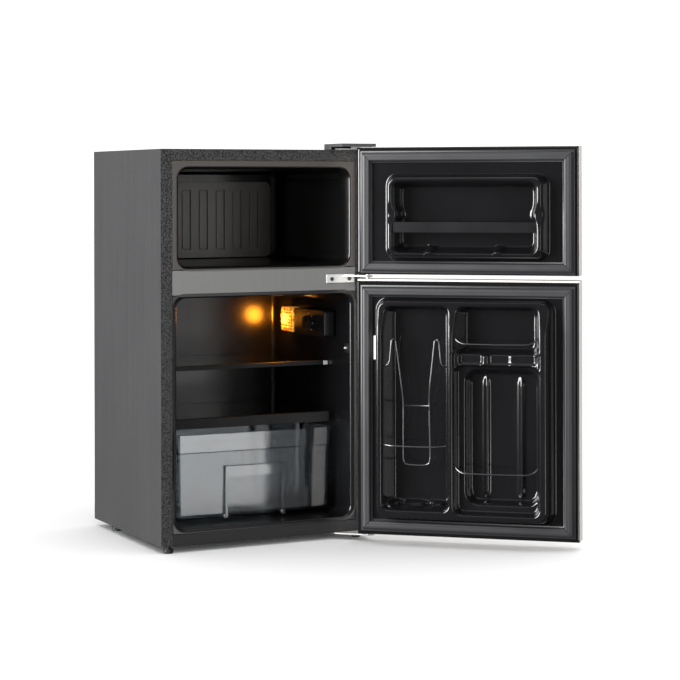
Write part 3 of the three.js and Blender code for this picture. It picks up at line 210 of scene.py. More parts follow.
def painted_steel(name, colours, dull, grain, grain_height):
    """Satin paint on steel: an embossed grain and long faint streaks."""
    material, tree = new_finish(name, IOR=PAINT_INDEX)
    streaks = pattern(tree, STREAK_SIZE, STREAK_STRETCH, 3.0)
    plug(tree, "Base Color", mixed(tree, streaks, *colours))
    patches = pattern(tree, PAINT_PATCH)
    plug(tree, "Roughness", between(tree, patches, dull - PAINT_SPREAD, dull + PAINT_SPREAD))
    emboss(tree, pattern(tree, grain), grain_height, PAINT_EMBOSS)
    return material


def leather_paint_grain_shade(name, middle, grain_shade_rim, dull, grain, grain_height):
    """A leather-like coat of round cells with painted shade of the grain: pale middles, dark raised
    rims.
    """
    material, tree = new_finish(name, IOR=PAINT_INDEX, Roughness=dull)
    spot = node(tree, "ShaderNodeTexCoord").outputs["Object"]
    cells = node(tree, "ShaderNodeTexVoronoi",
                 {"Vector": spot, "Scale": 1 / (grain * MM)}).outputs[0]
    sharper = node(tree, "ShaderNodeMapRange",
                   {"Value": cells, "From Min": CELL_MIDDLE, "From Max": CELL_SHADED_RIM})
    # painted shade of the grain: each cell darkens from its pale middle to its rim
    plug(tree, "Base Color", mixed(tree, sharper.outputs[0], middle, grain_shade_rim))
    emboss(tree, cells, grain_height, 1.0)
    return material


cabinet_paint = painted_steel("charcoal pre-coated steel", ("29292a", "313132"), 0.48, 2.8, 1.0)
# the flange's grain shade is painted into its colour
flange_paint = leather_paint_grain_shade("leather embossed flange with painted grain shade", "3c3c3d", "111112", 0.42, 3.6, 0.7)
rail_paint = painted_steel("charcoal painted rail", ("60605f", "646463"), 0.42, 1.2, 0.03)
print("made", ", ".join(m.name for m in (cabinet_paint, flange_paint, rail_paint)))

# %% [markdown]
# ## Formed plastic
# The liners are sheets of black high-impact styrene, drawn by vacuum over a mould while they are
# hot. The sheet keeps an extruded gloss, so it mirrors a lamp as a soft patch, and it ripples a
# little where it stretched. The freezer's face and its rear cover are the same plastic with a
# brown-grey satin skin, and the cold plate behind the cover is coated in nearly the same colour.

# %% Plastics and rubber
PLASTIC_INDEX = 1.52
PLASTIC_PATCH = 90
GRAIN_DEPTH, GRAIN_EMBOSS = 0.04, 0.7
RIPPLE, RIPPLE_DEPTH, RIPPLE_EMBOSS = 45, 0.25, 0.6


def moulded(name, colours, dull, grain=None):
    """Moulded or drawn plastic: patches of gloss, and a fine grain or else a slow ripple."""
    material, tree = new_finish(name, IOR=PLASTIC_INDEX)
    patches = pattern(tree, PLASTIC_PATCH)
    plug(tree, "Base Color", mixed(tree, patches, *colours))
    plug(tree, "Roughness", between(tree, patches, dull * 0.8, dull * 1.2))
    if grain:
        emboss(tree, pattern(tree, grain), GRAIN_DEPTH, GRAIN_EMBOSS)
    else:
        emboss(tree, pattern(tree, RIPPLE, detail=0.0), RIPPLE_DEPTH, RIPPLE_EMBOSS)
    return material


liner_black = moulded("gloss black drawn styrene", ("0b0b0c", "101012"), 0.24)
door_liner_black = moulded("gloss black drawn door liner", ("0c0c0d", "121214"), 0.13)
freezer_skin = moulded("brown grey freezer skin", ("36322f", "3e3a36"), 0.4)
grille_skin = moulded("brown grey grille skin", ("3a3632", "443f3b"), 0.3)
freezer_black = moulded("gloss black freezer liner", ("090909", "0e0d0d"), 0.22)
satin_black = moulded("satin black moulded plastic", ("0e0e0f", "151516"), 0.42, grain=0.8)
strip_black = moulded("matt black shelf strip", ("070708", "0c0c0d"), 0.6, grain=0.9)
kick_black = moulded("satin dark kick panel", ("161618", "1c1c1e"), 0.5, grain=0.9)
grey_plastic = moulded("grey moulded hinge cover", ("39393b", "414143"), 0.4, grain=0.8)
silver_plastic = moulded("silver moulded plastic", ("bdb9b5", "c8c4c0"), 0.38, grain=0.7)
foot_rubber = moulded("black moulded foot", ("101011", "18181a"), 0.5, grain=1.0)
gasket_rubber = moulded("soft dark gasket", ("252527", "2c2c2e"), 0.4, grain=1.2)
bar_black = moulded("satin black rack bar", ("0c0c0e", "131315"), 0.26, grain=1.0)
cold_plate_coat = moulded("coated cold plate", ("3b3632", "45403b"), 0.35)
print("made the plastics and the rubber")

# %% [markdown]
# ## Bare and plated metal
# Hinges are stainless sheet with a fine lengthwise grain, wires are chromed with the black round
# them painted into their colour as a painted reflection, and the outer door skins are brushed
# steel under a clear film. A metal's colour is its reflection. In a dark studio that would be
# nearly black, so the paler sheets are made less than fully metallic, and the soft lights show
# their own colour.

# %% Metals
BRUSH_DEPTH, BRUSH_EMBOSS = 0.02, 0.5
METAL_SPREAD = 0.07


def metal(name, colours, dull, stretch=(1, 1, 1), size=1.2, shine=1.0):
    """Bare metal: the pattern is drawn out along the way it was brushed."""
    material, tree = new_finish(name, Metallic=shine)
    grain = pattern(tree, size, stretch, 4.0)
    plug(tree, "Base Color", mixed(tree, grain, *colours))
    plug(tree, "Roughness", between(tree, grain, dull - METAL_SPREAD, dull + METAL_SPREAD))
    emboss(tree, grain, BRUSH_DEPTH, BRUSH_EMBOSS)
    return material


door_steel = metal("brushed steel door skin", ("dcd7d2", "e6e2dd"), 0.4, (1, 1, 0.04),
                   shine=0.25)
hinge_steel = metal("stainless hinge steel", ("d0d0ce", "dededc"), 0.32, (0.06, 1, 1),
                    shine=0.65)
screw_steel = metal("blackened screw steel", ("55524c", "6a665f"), 0.35)
# the chrome's colour is darkened as a painted reflection of the black around the wires
chrome_wire_painted_dark = metal("chrome wire painted dark as mirrored black", ("6a6a6c", "7a7a7c"), 0.3)
galvanised = metal("galvanised sheet", ("85888a", "989b9d"), 0.45, size=9.0, shine=0.5)
copper = metal("copper tube", ("b46d3e", "c98455"), 0.3)
compressor_paint = painted_steel("black stove enamel", ("131314", "1a1a1b"), 0.3, 2.0, 0.03)
print("made the metals")

# %% [markdown]
# ## Glass, clear plastic, foam and light
# The shelves are 4 mm float glass and the drawer is clear styrene, which both show mostly as
# reflections inside a black cabinet. The lens is amber styrene with prisms pressed in it, and the
# lamp behind it lights it unevenly: yellow at the middle of a prism, deep orange at its root.

# %% Clear and glowing finishes
CLEAR_PATCH = 60
CLEAR_DEPTH, CLEAR_EMBOSS = 0.1, 0.5
LENS_DULL = 0.15
PRISM_ROOT, PRISM_MIDDLE = 0.38, 0.62


def clear(name, colour, dull, ior, ripple):
    """A clear wall, slightly rippled."""
    material, tree = new_finish(name, IOR=ior, Transmission_Weight=1.0, Base_Color=linear(colour))
    patches = pattern(tree, CLEAR_PATCH)
    plug(tree, "Roughness", between(tree, patches, dull * 0.5, dull * 1.5))
    emboss(tree, pattern(tree, ripple, detail=0.0), CLEAR_DEPTH, CLEAR_EMBOSS)
    return material


def glowing(name, dark, light, size, strength):
    """A lit surface whose light is uneven."""
    material, tree = new_finish(name, IOR=1.5, Roughness=LENS_DULL, Emission_Strength=strength)
    cells = pattern(tree, size, (1, 1, 0.6), 3.0)
    sharper = node(tree, "ShaderNodeMapRange",
                   {"Value": cells, "From Min": PRISM_ROOT, "From Max": PRISM_MIDDLE})
    shade = mixed(tree, sharper.outputs[0], dark, light)
    plug(tree, "Base Color", shade)
    plug(tree, "Emission Color", shade)
    return material


shelf_glass = clear("grey float glass", "b9c4c2", 0.04, 1.5, 120)
drawer_clear = clear("clear drawer styrene", "dfe5ea", 0.05, 1.55, 80)
amber_lens = glowing("amber lamp lens", "a84a04", "fcc044", 9, 0.7)
bulb_glow = glowing("lit bulb glass", "ffb040", "ffe0a0", 12, 6.0)
foam = moulded("foamed polyurethane", ("c9b877", "dccd8e"), 0.9, grain=2.5)
print("made the clear and the glowing finishes")

# %% [markdown]
# ## Working as by hand
# Each new piece starts as a primitive of the right size and is shaped in edit mode. These small
# helpers select one thing at a time, apply a modifier, and put a drawn piece where it belongs.
# Wide bevels read as bent sheet or moulded edges, because each one catches a line of light.

# %% Modelling helpers
def deselect():
    """Back to object mode with nothing selected."""
    if bpy.context.object and bpy.context.object.mode != "OBJECT":
        bpy.ops.object.mode_set(mode="OBJECT")
    bpy.ops.object.select_all(action="DESELECT")


def only(piece):
    """Selects one object and nothing else, in object mode."""
    deselect()
    piece.select_set(True)
    bpy.context.view_layer.objects.active = piece


def edit(piece, select=None, kind="EDGE"):
    """Opens a piece in edit mode with the edges or faces chosen by a test, or with all of it."""
    only(piece)
    bpy.ops.object.mode_set(mode="EDIT")
    bpy.ops.mesh.select_mode(type=kind)
    bpy.ops.mesh.select_all(action="SELECT" if select is None else "DESELECT")
    if select is None:
        return
    bpy.ops.object.mode_set(mode="OBJECT")
    mesh = piece.data
    chosen = mesh.edges if kind == "EDGE" else mesh.polygons
    for part in chosen:
        part.select = bool(select(part))
    bpy.ops.object.mode_set(mode="EDIT")


def done():
    """Back to object mode."""
    bpy.ops.object.mode_set(mode="OBJECT")


def modify(piece, kind, **settings):
    """Adds a modifier and applies it."""
    only(piece)
    modifier = piece.modifiers.new("shape", kind)
    for name, value in settings.items():
        setattr(modifier, name, value)
    bpy.ops.object.modifier_apply(modifier=modifier.name)


def soften(piece, width=0.6, segments=2, angle=32):
    """Bevels the sharp edges by a width in millimetres and smooths over them."""
    modify(piece, "BEVEL", width=width * MM, segments=segments, limit_method="ANGLE",
           angle_limit=math.radians(angle), use_clamp_overlap=True, loop_slide=False)
    smooth(piece)


def smooth(piece, angle=40):
    """Smooth shading except over sharp edges, and flat faces kept flat."""
    only(piece)
    bpy.ops.object.shade_smooth_by_angle(angle=math.radians(angle))
    modify(piece, "WEIGHTED_NORMAL", keep_sharp=True)


def block(name, low, high):
    """A block between two corners, in drawing millimetres."""
    low, high = Vector(low) * MM, Vector(high) * MM
    deselect()
    bpy.ops.mesh.primitive_cube_add(size=1, location=(low + high) / 2, scale=high - low)
    piece = bpy.context.object
    piece.name = name
    bpy.ops.object.transform_apply(location=True, rotation=True, scale=True)
    return piece


def round_corners(piece, axis, radius, segments=8):
    """Rounds the edges that run along an axis, 0 for x, 1 for y and 2 for z."""
    points = piece.data.vertices

    def runs_along(edge):
        run = points[edge.vertices[0]].co - points[edge.vertices[1]].co
        return abs(run[axis]) > 0.99 * run.length

    edit(piece, runs_along)
    bpy.ops.mesh.bevel(offset=radius * MM, segments=segments, affect="EDGES")
    done()


def rounded(name, low, high, axis, radius, edge=0.5, segments=8):
    """A block with rounded corners along one axis and softened edges."""
    piece = block(name, low, high)
    round_corners(piece, axis, radius, segments)
    if edge:
        soften(piece, edge)
    return piece


def combine(piece, operation, others):
    """Cuts others out of a piece, or joins them to it."""
    for other in others:
        modify(piece, "BOOLEAN", operation=operation, object=other, solver="EXACT")
        bpy.data.objects.remove(other)
    return piece


def settle(piece, spot=DRAWING):
    """Moves a piece to its spot and works the move into its mesh."""
    piece.matrix_world = spot
    only(piece)
    bpy.ops.object.transform_apply(location=True, rotation=True, scale=True)
    return piece


def place(piece, body, finish, nodes, door=False):
    """Puts a drawn piece in the cabinet or on an open door, with its finish and its node."""
    settle(piece, SWING @ DRAWING if door else DRAWING)
    return dress(piece, body, finish, nodes)


def dress(piece, body, finish, nodes):
    """Gives a piece its finish, the body it moves with and the nodes it stands for."""
    if not piece.data.materials:
        piece.data.materials.append(finish)
    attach(piece, body)
    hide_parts(*nodes)
    return piece


MERGE = 0.00002  # metres between points that are one
FLAT_ENOUGH = 0.6  # degrees between faces that are one


def copied(node_name, name):
    """A merged copy of a node's mesh, free to be refined."""
    piece = bpy.data.objects.new(name, frame["nodes"][node_name].data.copy())
    bpy.context.collection.objects.link(piece)
    piece.data.materials.clear()
    edit(piece)
    bpy.ops.mesh.remove_doubles(threshold=MERGE)
    bpy.ops.mesh.dissolve_limited(angle_limit=math.radians(FLAT_ENOUGH))
    bpy.ops.mesh.normals_make_consistent(inside=False)
    done()
    return piece


def refine(source, name, body, finish, edge, segments=2):
    """A copy of a node's mesh with softened edges, which stands for the node."""
    piece = copied(source, name)
    soften(piece, edge, segments)
    return dress(piece, body, finish, [source])


def face_outwards(piece):
    """Turns all faces of a piece the same way, outwards."""
    edit(piece)
    bpy.ops.mesh.normals_make_consistent(inside=False)
    done()


print("ready to model")

# %% [markdown]
# ## Skins pulled ring by ring
# A formed wall, a gasket and a drawer are all one outline carried along a path: the outline shrinks
# and sinks as it goes. It could be lofted in code, but by hand a ring of edges is extruded and
# moved, again and again, and the last ring is filled. Arcs in the list of rings make the fillets.

# %% Rings and skins
def outline(x0, x1, z0, z1, radius, steps=8):
    """A rectangle with rounded corners, as pairs in order."""
    centres = ((x1 - radius, z1 - radius), (x0 + radius, z1 - radius),
               (x0 + radius, z0 + radius), (x1 - radius, z0 + radius))
    points = []
    for quarter, centre in enumerate(centres):
        for i in range(steps + 1):
            turn = (quarter + i / steps) * math.pi / 2
            points.append((centre[0] + radius * math.cos(turn),
                           centre[1] + radius * math.sin(turn)))
    return points


def pull_skin(name, rings, fill=True):
    """A sheet pulled through rings of points in drawing millimetres."""
    deselect()
    count = len(rings[0])
    bpy.ops.mesh.primitive_circle_add(vertices=count, radius=1)
    piece = bpy.context.object
    piece.name = name
    for index, ring in enumerate(rings):
        first = index * count
        if index:
            edit(piece, lambda edge: min(edge.vertices) >= first - count
                 and max(edge.vertices) - min(edge.vertices) in (1, count - 1))
            bpy.ops.mesh.extrude_edges_move()
            done()
        for offset, point in enumerate(ring):
            piece.data.vertices[first + offset].co = Vector(point) * MM
    if fill:
        edit(piece, lambda edge: min(edge.vertices) >= first)
        bpy.ops.mesh.edge_face_add()
        done()
    face_outwards(piece)
    return piece


def arc(radius, start, end, steps=5):
    """Cosine and sine along an arc, in degrees, times its radius."""
    turns = [math.radians(start + (end - start) * i / steps) for i in range(steps + 1)]
    return [(radius * math.cos(turn), radius * math.sin(turn)) for turn in turns]


print("an outline of", len(outline(0, 10, 0, 10, 2)), "points is ready to pull")

# %% [markdown]
# ## The cabinet's wrapper
# One sheet is bent over the top and down both sides, and its front edge is turned in as a flange
# that is mitred at the two upper corners. A copy of the working model's sheet is enough to start
# from: the mitres are sawn with two thin blades, every fold gets the small radius that a press
# brake leaves, and the faces that look forward get the flange's coat. The rail between the doors is
# a plain painted strip, so it is a block with its edges rolled.

# %% Wrapper, rail and kick panel
MITRE_CUT = 1.3
MITRE_DEPTH = 1.1
MITRE_TILT = 44
FLANGE = 25
BLADE_REACH = 0.72 * FLANGE  # just past the ends of the joint
FOLD = 0.9
FACES_FRONT = -0.9


def paint_faces(piece, finishes, choose):
    """Gives each face one of several finishes."""
    for finish in finishes:
        piece.data.materials.append(finish)
    for polygon in piece.data.polygons:
        polygon.material_index = choose(polygon)


def mitre_blade(side):
    """A thin blade along the joint from a flange's outer corner to its inner one."""
    blade = block("blade", (-BLADE_REACH, -MITRE_DEPTH, -MITRE_CUT / 2),
                  (BLADE_REACH, MITRE_DEPTH, MITRE_CUT / 2))
    middle = Vector((side * (HALF - FLANGE / 2), 0, HEIGHT - FLANGE / 2)) * MM + ORIGIN
    tilt = Matrix.Rotation(-side * math.radians(MITRE_TILT), 4, "Y")
    return settle(blade, Matrix.Translation(middle) @ tilt)


wrapper = copied("outer_shell", "cabinet_wrapper")
combine(wrapper, "DIFFERENCE", [mitre_blade(-1), mitre_blade(1)])
soften(wrapper, FOLD)
paint_faces(wrapper, (cabinet_paint, flange_paint), lambda f: int(f.normal.y < FACES_FRONT))
dress(wrapper, "cabinet", cabinet_paint, ["outer_shell"])

SHEET_PARTS = {
    "kick_plate": ("kick_panel", kick_black, "matt_black", 0.9),
    "rear_top_trim": ("rear_trim_strip", satin_black, "matt_black", 1.6),
    "back_panel": ("rear_panel", galvanised, "galvanised", 0.4),
    "base_pan": ("floor_pan", galvanised, "galvanised", 0.4),
    "compressor_deck": ("compressor_bay_wall", galvanised, "galvanised", 0.4),
}
for source, (name, finish, slot, width) in SHEET_PARTS.items():
    refine(source, name, "cabinet", finish, width)
RAIL_EDGE = 1.4
rail = block("rail_between_doors", *drawn_box("mid_rail"))
soften(rail, RAIL_EDGE, 3)
place(rail, "cabinet", rail_paint, ["mid_rail"])
print("cabinet sheet metal:", 2 + len(SHEET_PARTS), "pieces")

# %% [markdown]
# ## Drawn liners
# Each compartment is one sheet of plastic drawn backwards from its face. Where the sheet turns over
# the mould it takes a radius, small at the mouth and large at the back, and those radii are what a
# glossy black inside shows. The rings below follow the sheet from its hidden rear lip, over the
# face, round the mouth and down the drafted walls to the back.

# %% The two liners
SHEET_WALL = 1.4
FACE_GAP = 0.6
MOUTH = 6.0
FLARE_STEPS = (0.15, 0.3, 0.45, 0.6, 0.8, 1.0)
LIP = 9.0
FACE_EDGE = ((LIP, 0), (0.7, 0), (0.2, 0.2), (0, 0.8))  # depth and inset, from the hidden lip
FACE_CORNER = 1.5
CORNER_SHRINK = 0.55
LEAST_CORNER = 4
SMOOTH_LINER = 50
BACK_CLEAR = 2
ON_THE_FACE = 0.5


def thicken(piece, wall, hollow):
    """Turns the faces towards the hollow and grows the wall away from it."""
    edit(piece)
    bpy.ops.mesh.remove_doubles(threshold=0.00001)
    bpy.ops.mesh.normals_make_consistent(inside=False)
    done()
    middle = Vector(hollow) * MM
    facing = sum((middle - f.center).dot(f.normal) * f.area for f in piece.data.polygons)
    if facing < 0:
        edit(piece)
        bpy.ops.mesh.flip_normals()
        done()
    modify(piece, "SOLIDIFY", thickness=wall * MM, offset=-1.0)


def liner_rings(face, mouth, radius, walls, back, back_radius):
    """Rings of a drawn liner; walls gives depth and inset pairs after the mouth."""
    rings = []
    for depth, inset in FACE_EDGE:
        rings.append([(x, depth, z) for x, z in outline(
            face[0] + inset, face[1] - inset, face[2] + inset, face[3] - inset, FACE_CORNER)])
    flare_depth, flare_inset = walls[0]
    slope = math.atan2(flare_inset * 2, flare_depth)
    turns = [(MOUTH - c, s - MOUTH) for c, s in arc(MOUTH, 0, 90 - math.degrees(slope))]
    start_depth, start_inset = turns[-1]
    turns += [(start_depth + t * (flare_depth - start_depth),
               start_inset + (1 - (1 - t) ** 2) * (flare_inset - start_inset)) for t in FLARE_STEPS]
    last_inset = walls[-1][1]
    ends = [(back - back_radius + s, last_inset + back_radius - c)
            for c, s in arc(back_radius, 0, 90, 7)]
    for depth, inset in turns + ends:
        corner_radius = max(radius - CORNER_SHRINK * inset, LEAST_CORNER)
        upright = inset / 2 if inset > 0 else inset  # floor and ceiling have half the draft
        rings.append([(x, depth, z) for x, z in outline(
            mouth[0] + inset, mouth[1] - inset, mouth[2] + upright, mouth[3] - upright,
            corner_radius)])
    return rings


def face_of(node_name):
    """The liner's face, a little smaller all round than the space for it."""
    low, high = drawn_box(node_name)
    return (low.x + FACE_GAP, high.x - FACE_GAP, low.z + FACE_GAP, high.z - FACE_GAP)


freezer_low, freezer_high = drawn_box("freezer_liner")
FREEZER_RIM = (14.4, 4.2, 15.7)  # the face's width at the sides, below and above the mouth
FREEZER_MOUTH = (freezer_low.x + FREEZER_RIM[0], freezer_high.x - FREEZER_RIM[0],
                 freezer_low.z + FREEZER_RIM[1], freezer_high.z - FREEZER_RIM[2])
FREEZER_BACK = freezer_high.y - BACK_CLEAR
freezer = pull_skin("freezer_compartment", liner_rings(
    face_of("freezer_liner"), FREEZER_MOUTH, 24, ((34, 8), (FREEZER_BACK, 11)), FREEZER_BACK, 16))
thicken(freezer, SHEET_WALL, (0, 150, (freezer_low.z + freezer_high.z) / 2))
smooth(freezer, SMOOTH_LINER)
paint_faces(freezer, (freezer_black, freezer_skin),
            lambda f: int(f.center.y < ON_THE_FACE * MM and abs(f.normal.y) > 0.9))
place(freezer, "cabinet", freezer_black, ["freezer_liner"])

fridge_low, fridge_high = drawn_box("fridge_liner")
FRIDGE_RIM = (6.7, 7, 3.7)
FRIDGE_MOUTH = (fridge_low.x + FRIDGE_RIM[0], fridge_high.x - FRIDGE_RIM[0],
                fridge_low.z + FRIDGE_RIM[1], fridge_high.z - FRIDGE_RIM[2])
FRIDGE_BACK = fridge_high.y - BACK_CLEAR
deck_low, deck_high = drawn_box("compressor_deck")
HUMP_WALL = 34
HUMP_RADIUS = 7
HUMP_INSET = 8.6
hump_y = deck_low.y - HUMP_WALL
hump_z = deck_high.z + HUMP_WALL
fridge = pull_skin("fridge_compartment", liner_rings(
    face_of("fridge_liner"), FRIDGE_MOUTH, 25, ((8, 4.5), (FRIDGE_BACK, 12)), FRIDGE_BACK, 12))
for point, normal in (((0, hump_y, 0), (0, 1, 0)), ((0, 0, hump_z), (0, 0, 1))):
    edit(fridge)
    bpy.ops.mesh.bisect(plane_co=Vector(point) * MM, plane_no=normal)
    done()
edit(fridge, lambda f: f.center.y > hump_y * MM and f.center.z < hump_z * MM, "FACE")
bpy.ops.mesh.delete(type="FACE")
done()
thicken(fridge, SHEET_WALL, (0, 150, 300))
smooth(fridge, SMOOTH_LINER)
place(fridge, "cabinet", liner_black, ["fridge_liner"])

hump = block("compressor_hump", (FRIDGE_MOUTH[0] + HUMP_INSET, hump_y, FRIDGE_MOUTH[2]),
             (FRIDGE_MOUTH[1] - HUMP_INSET, FRIDGE_BACK - 0.5, hump_z))


def on_hump_edge(vertex):
    """Whether a point lies on the hump's long upper edge."""
    place_of = hump.data.vertices[vertex].co / MM
    return abs(place_of.y - hump_y) < 0.1 and abs(place_of.z - hump_z) < 0.1


edit(hump, lambda e: all(on_hump_edge(v) for v in e.vertices))
bpy.ops.mesh.bevel(offset=HUMP_RADIUS * MM, segments=8, affect="EDGES")
done()
edit(hump, lambda f: abs(f.normal.x) > 0.9 or f.normal.y > 0.9 or f.normal.z < -0.9, "FACE")
bpy.ops.mesh.delete(type="FACE")
done()
thicken(hump, SHEET_WALL, (0, 100, 500))
smooth(hump, SMOOTH_LINER)
place(hump, "cabinet", liner_black, [])
print("drawn liners:", len(freezer.data.polygons), "and", len(fridge.data.polygons), "faces")

# %% [markdown]
# ## Behind the freezer's cover
# The cold plate stands behind a cover with seven tall slots. The slots have rounded ends, and a
# pad of the plate stands nearly flush in each, so that only the gap round it shows, as a thin dark
# outline. One slot is worked out from the pitch and cut again and again.

# %% Freezer rear cover
cover_low, cover_high = drawn_box("freezer_rear_cover")
SLOTS = 7
SLOT_EDGE = 22.4
SLOT_BAR = 18.6
SLOT_END = 17
SLOT_GAP = 3.2
CUT_THROUGH = 2
slot_pitch = (cover_high.x - cover_low.x - 2 * SLOT_EDGE) / SLOTS


def slot_block(name, i, gap, front, back, radius, **shape):
    """A block as tall as the cover's slot i, smaller by a gap all round."""
    middle = cover_low.x + SLOT_EDGE + (i + 0.5) * slot_pitch
    reach = (slot_pitch - SLOT_BAR) / 2 - gap
    return rounded(name, (middle - reach, front, cover_low.z + SLOT_END + gap),
                   (middle + reach, back, cover_high.z - SLOT_END - gap), 1, radius, **shape)


cover = block("freezer_rear_grille", cover_low, cover_high)
round_corners(cover, 1, 14)
slots = [slot_block("slot", i, 0, cover_low.y - CUT_THROUGH, cover_high.y + CUT_THROUGH, 4,
                    edge=0, segments=5) for i in range(SLOTS)]
combine(cover, "DIFFERENCE", slots)
soften(cover, 1.1, 3)
place(cover, "cabinet", grille_skin, ["freezer_rear_cover"])
for i in range(SLOTS):
    pad = slot_block(f"cold_plate_pad_{i + 1}", i, SLOT_GAP, cover_low.y + 0.5, cover_high.y + 0.6,
                     3, edge=0.6, segments=4)
    place(pad, "cabinet", grille_skin, [])
print("grille with", SLOTS, "slots")

# %% [markdown]
# ## Shelves
# Two panes of glass lie on ribs along the side walls, each with a strip along its front edge. The
# panes have ground, rounded edges; the ribs are blocks that run just into the wall behind them. Two
# small pale clips sit on the walls beside the upper shelf's strip.

# %% Glass, strips and ribs
RIB_HEIGHT = 4.5
RIB_UNDER = 6
RIB_CLEAR = 0.3
WALL_DRAFT = 6.5  # how far the wall leans in from the mouth, so that a rib reaches it
for shelf, slot in (("upper_shelf", "silver_plastic"), ("crisper_cover", "gloss_black")):
    low, high = drawn_box(f"{shelf}_glass")
    pane = rounded(f"{shelf}_pane", low, high, 2, 5, edge=0.8)
    place(pane, shelf, shelf_glass, [f"{shelf}_glass"])
    refine(f"{shelf}_trim", f"{shelf}_strip", shelf, strip_black, 1.2, 3)
    strip_high = drawn_box(f"{shelf}_trim")[1]
    for side, word in ((-1, "left"), (1, "right")):
        ends = sorted((side * (high.x - RIB_UNDER), side * (FRIDGE_MOUTH[1] - WALL_DRAFT)))
        rib = rounded(f"{shelf}_rib_{word}",
                      (ends[0], strip_high.y + 1, low.z - RIB_CLEAR - RIB_HEIGHT),
                      (ends[1], FRIDGE_BACK - 1, low.z - RIB_CLEAR), 1, 1.5, edge=0.4, segments=3)
        place(rib, "cabinet", liner_black, [])
CLIP = (8, 8, 9)
CLIP_GAP = 4
CLIP_AHEAD = 4
low, high = drawn_box("upper_shelf_trim")
for side, word in ((-1, "left"), (1, "right")):
    ends = sorted((side * (high.x + CLIP_GAP), side * (high.x + CLIP_GAP + CLIP[0])))
    clip = rounded(f"shelf_clip_{word}", (ends[0], low.y - CLIP_AHEAD, low.z),
                   (ends[1], low.y - CLIP_AHEAD + CLIP[1], low.z + CLIP[2]),
                   0, 2, edge=0.6, segments=4)
    place(clip, "cabinet", silver_plastic, [])
print("shelves, strips, ribs and clips made")

# %% [markdown]
# ## The crisper drawer
# A clear drawer injected in one shot: drafted walls, a wider band round its rim, nine stiffening
# ribs at the back, drain slots in the floor and a raised frame on the front to pull it by. The tub
# is pulled as a skin and given its wall; ribs, frame and slots are joined on and cut out of it.

# %% Crisper drawer
drawer_low, drawer_high = drawn_box("crisper_drawer")
DRAWER_WALL = 2.2
BAND = 38
FLOOR_FILLET = 9
PULL_HALF = 70
PULL_DROP = 70
PULL_PROUD = 3  # how far the frame stands in front of the tub
PULL_DEEP = 7
PULL_BAR, PULL_TOP_BAR = 5, 23
BAND_STEP = 3
TUB_DRAFT = 6.5
TUB_CORNER, FLOOR_CORNER = 13, 10
DRAWER_RIBS = 9
RIB_MARGIN, RIB_HALF, RIB_FRONT, RIB_BACK = 30, 1.5, 12, 4
DRAINS_A_ROW = 6
DRAIN_MARGIN, DRAIN_HALF = 66, 2.5
DRAIN_ROW, DRAIN_REACH = 0.194, 0.121  # shares of the drawer's length
front_y = drawer_low.y + PULL_PROUD


def drawer_ring(z, inset, radius):
    """The drawer's inner outline at a height."""
    inset += DRAWER_WALL
    return [(x, y, z) for x, y in outline(drawer_low.x + inset, drawer_high.x - inset,
                                          front_y + inset, drawer_high.y - inset, radius)]


floor_z = drawer_low.z + DRAWER_WALL
band_z = drawer_high.z - BAND
rings = [drawer_ring(drawer_high.z, 0, TUB_CORNER), drawer_ring(band_z + 1.5, 0.2, TUB_CORNER),
         drawer_ring(band_z, BAND_STEP, TUB_CORNER - 1),
         drawer_ring(floor_z + FLOOR_FILLET, TUB_DRAFT, FLOOR_CORNER)]
rings += [drawer_ring(floor_z + FLOOR_FILLET - s, TUB_DRAFT + FLOOR_FILLET - c,
                      FLOOR_CORNER + 0.3 * s) for c, s in arc(FLOOR_FILLET, 0, 90)[1:]]
drawer = pull_skin("crisper_drawer_clear", rings)
thicken(drawer, DRAWER_WALL, (0, (front_y + drawer_high.y) / 2, drawer_high.z))
rib_pitch = (drawer_high.x - drawer_low.x - 2 * RIB_MARGIN) / (DRAWER_RIBS - 1)
ribs = []
for i in range(DRAWER_RIBS):
    x = drawer_low.x + RIB_MARGIN + i * rib_pitch
    ribs.append(rounded("rib", (x - RIB_HALF, drawer_high.y - RIB_FRONT, drawer_low.z + 1),
                        (x + RIB_HALF, drawer_high.y - RIB_BACK, band_z - 4), 2, 1.2,
                        edge=0, segments=3))
pull_top = drawer_high.z - PULL_DROP
pull = block("pull", (-PULL_HALF, front_y - PULL_PROUD, drawer_low.z),
             (PULL_HALF, front_y + PULL_DEEP, pull_top))
combine(pull, "DIFFERENCE", [
    block("inside", (PULL_BAR - PULL_HALF, front_y - PULL_DEEP - 2, drawer_low.z - 1),
          (PULL_HALF - PULL_BAR, front_y + PULL_DEEP + 2, pull_top - PULL_TOP_BAR))])
combine(drawer, "UNION", ribs + [pull])
drain_pitch = (drawer_high.x - drawer_low.x - 2 * DRAIN_MARGIN) / (DRAINS_A_ROW - 1)
length = drawer_high.y - front_y
drains = []
for row in (-1, 1):
    for i in range(DRAINS_A_ROW):
        x = drawer_low.x + DRAIN_MARGIN + i * drain_pitch
        y = (front_y + drawer_high.y) / 2 + row * length * DRAIN_ROW
        reach = length * DRAIN_REACH
        drains.append(rounded("drain", (x - DRAIN_HALF, y - reach, drawer_low.z - 2),
                              (x + DRAIN_HALF, y + reach, floor_z + 2), 2, 2.2,
                              edge=0, segments=3))
combine(drawer, "DIFFERENCE", drains)
soften(drawer, 0.5, 2, 40)
place(drawer, "crisper_drawer", drawer_clear, ["crisper_drawer"])
print("drawer with", DRAWER_RIBS, "ribs and", len(drains), "drains")

# %% [markdown]
# ## Lamp, thermostat and light switch
# A black housing on the right wall holds the thermostat, and an amber lens behind it covers the
# lamp. The lens has pressed ridges that break up the light. The knob has a ring of grip grooves,
# and short raised marks round it show its settings.

# %% Lamp and thermostat
refine("thermostat_housing", "control_housing", "cabinet", liner_black, 1.6, 3)

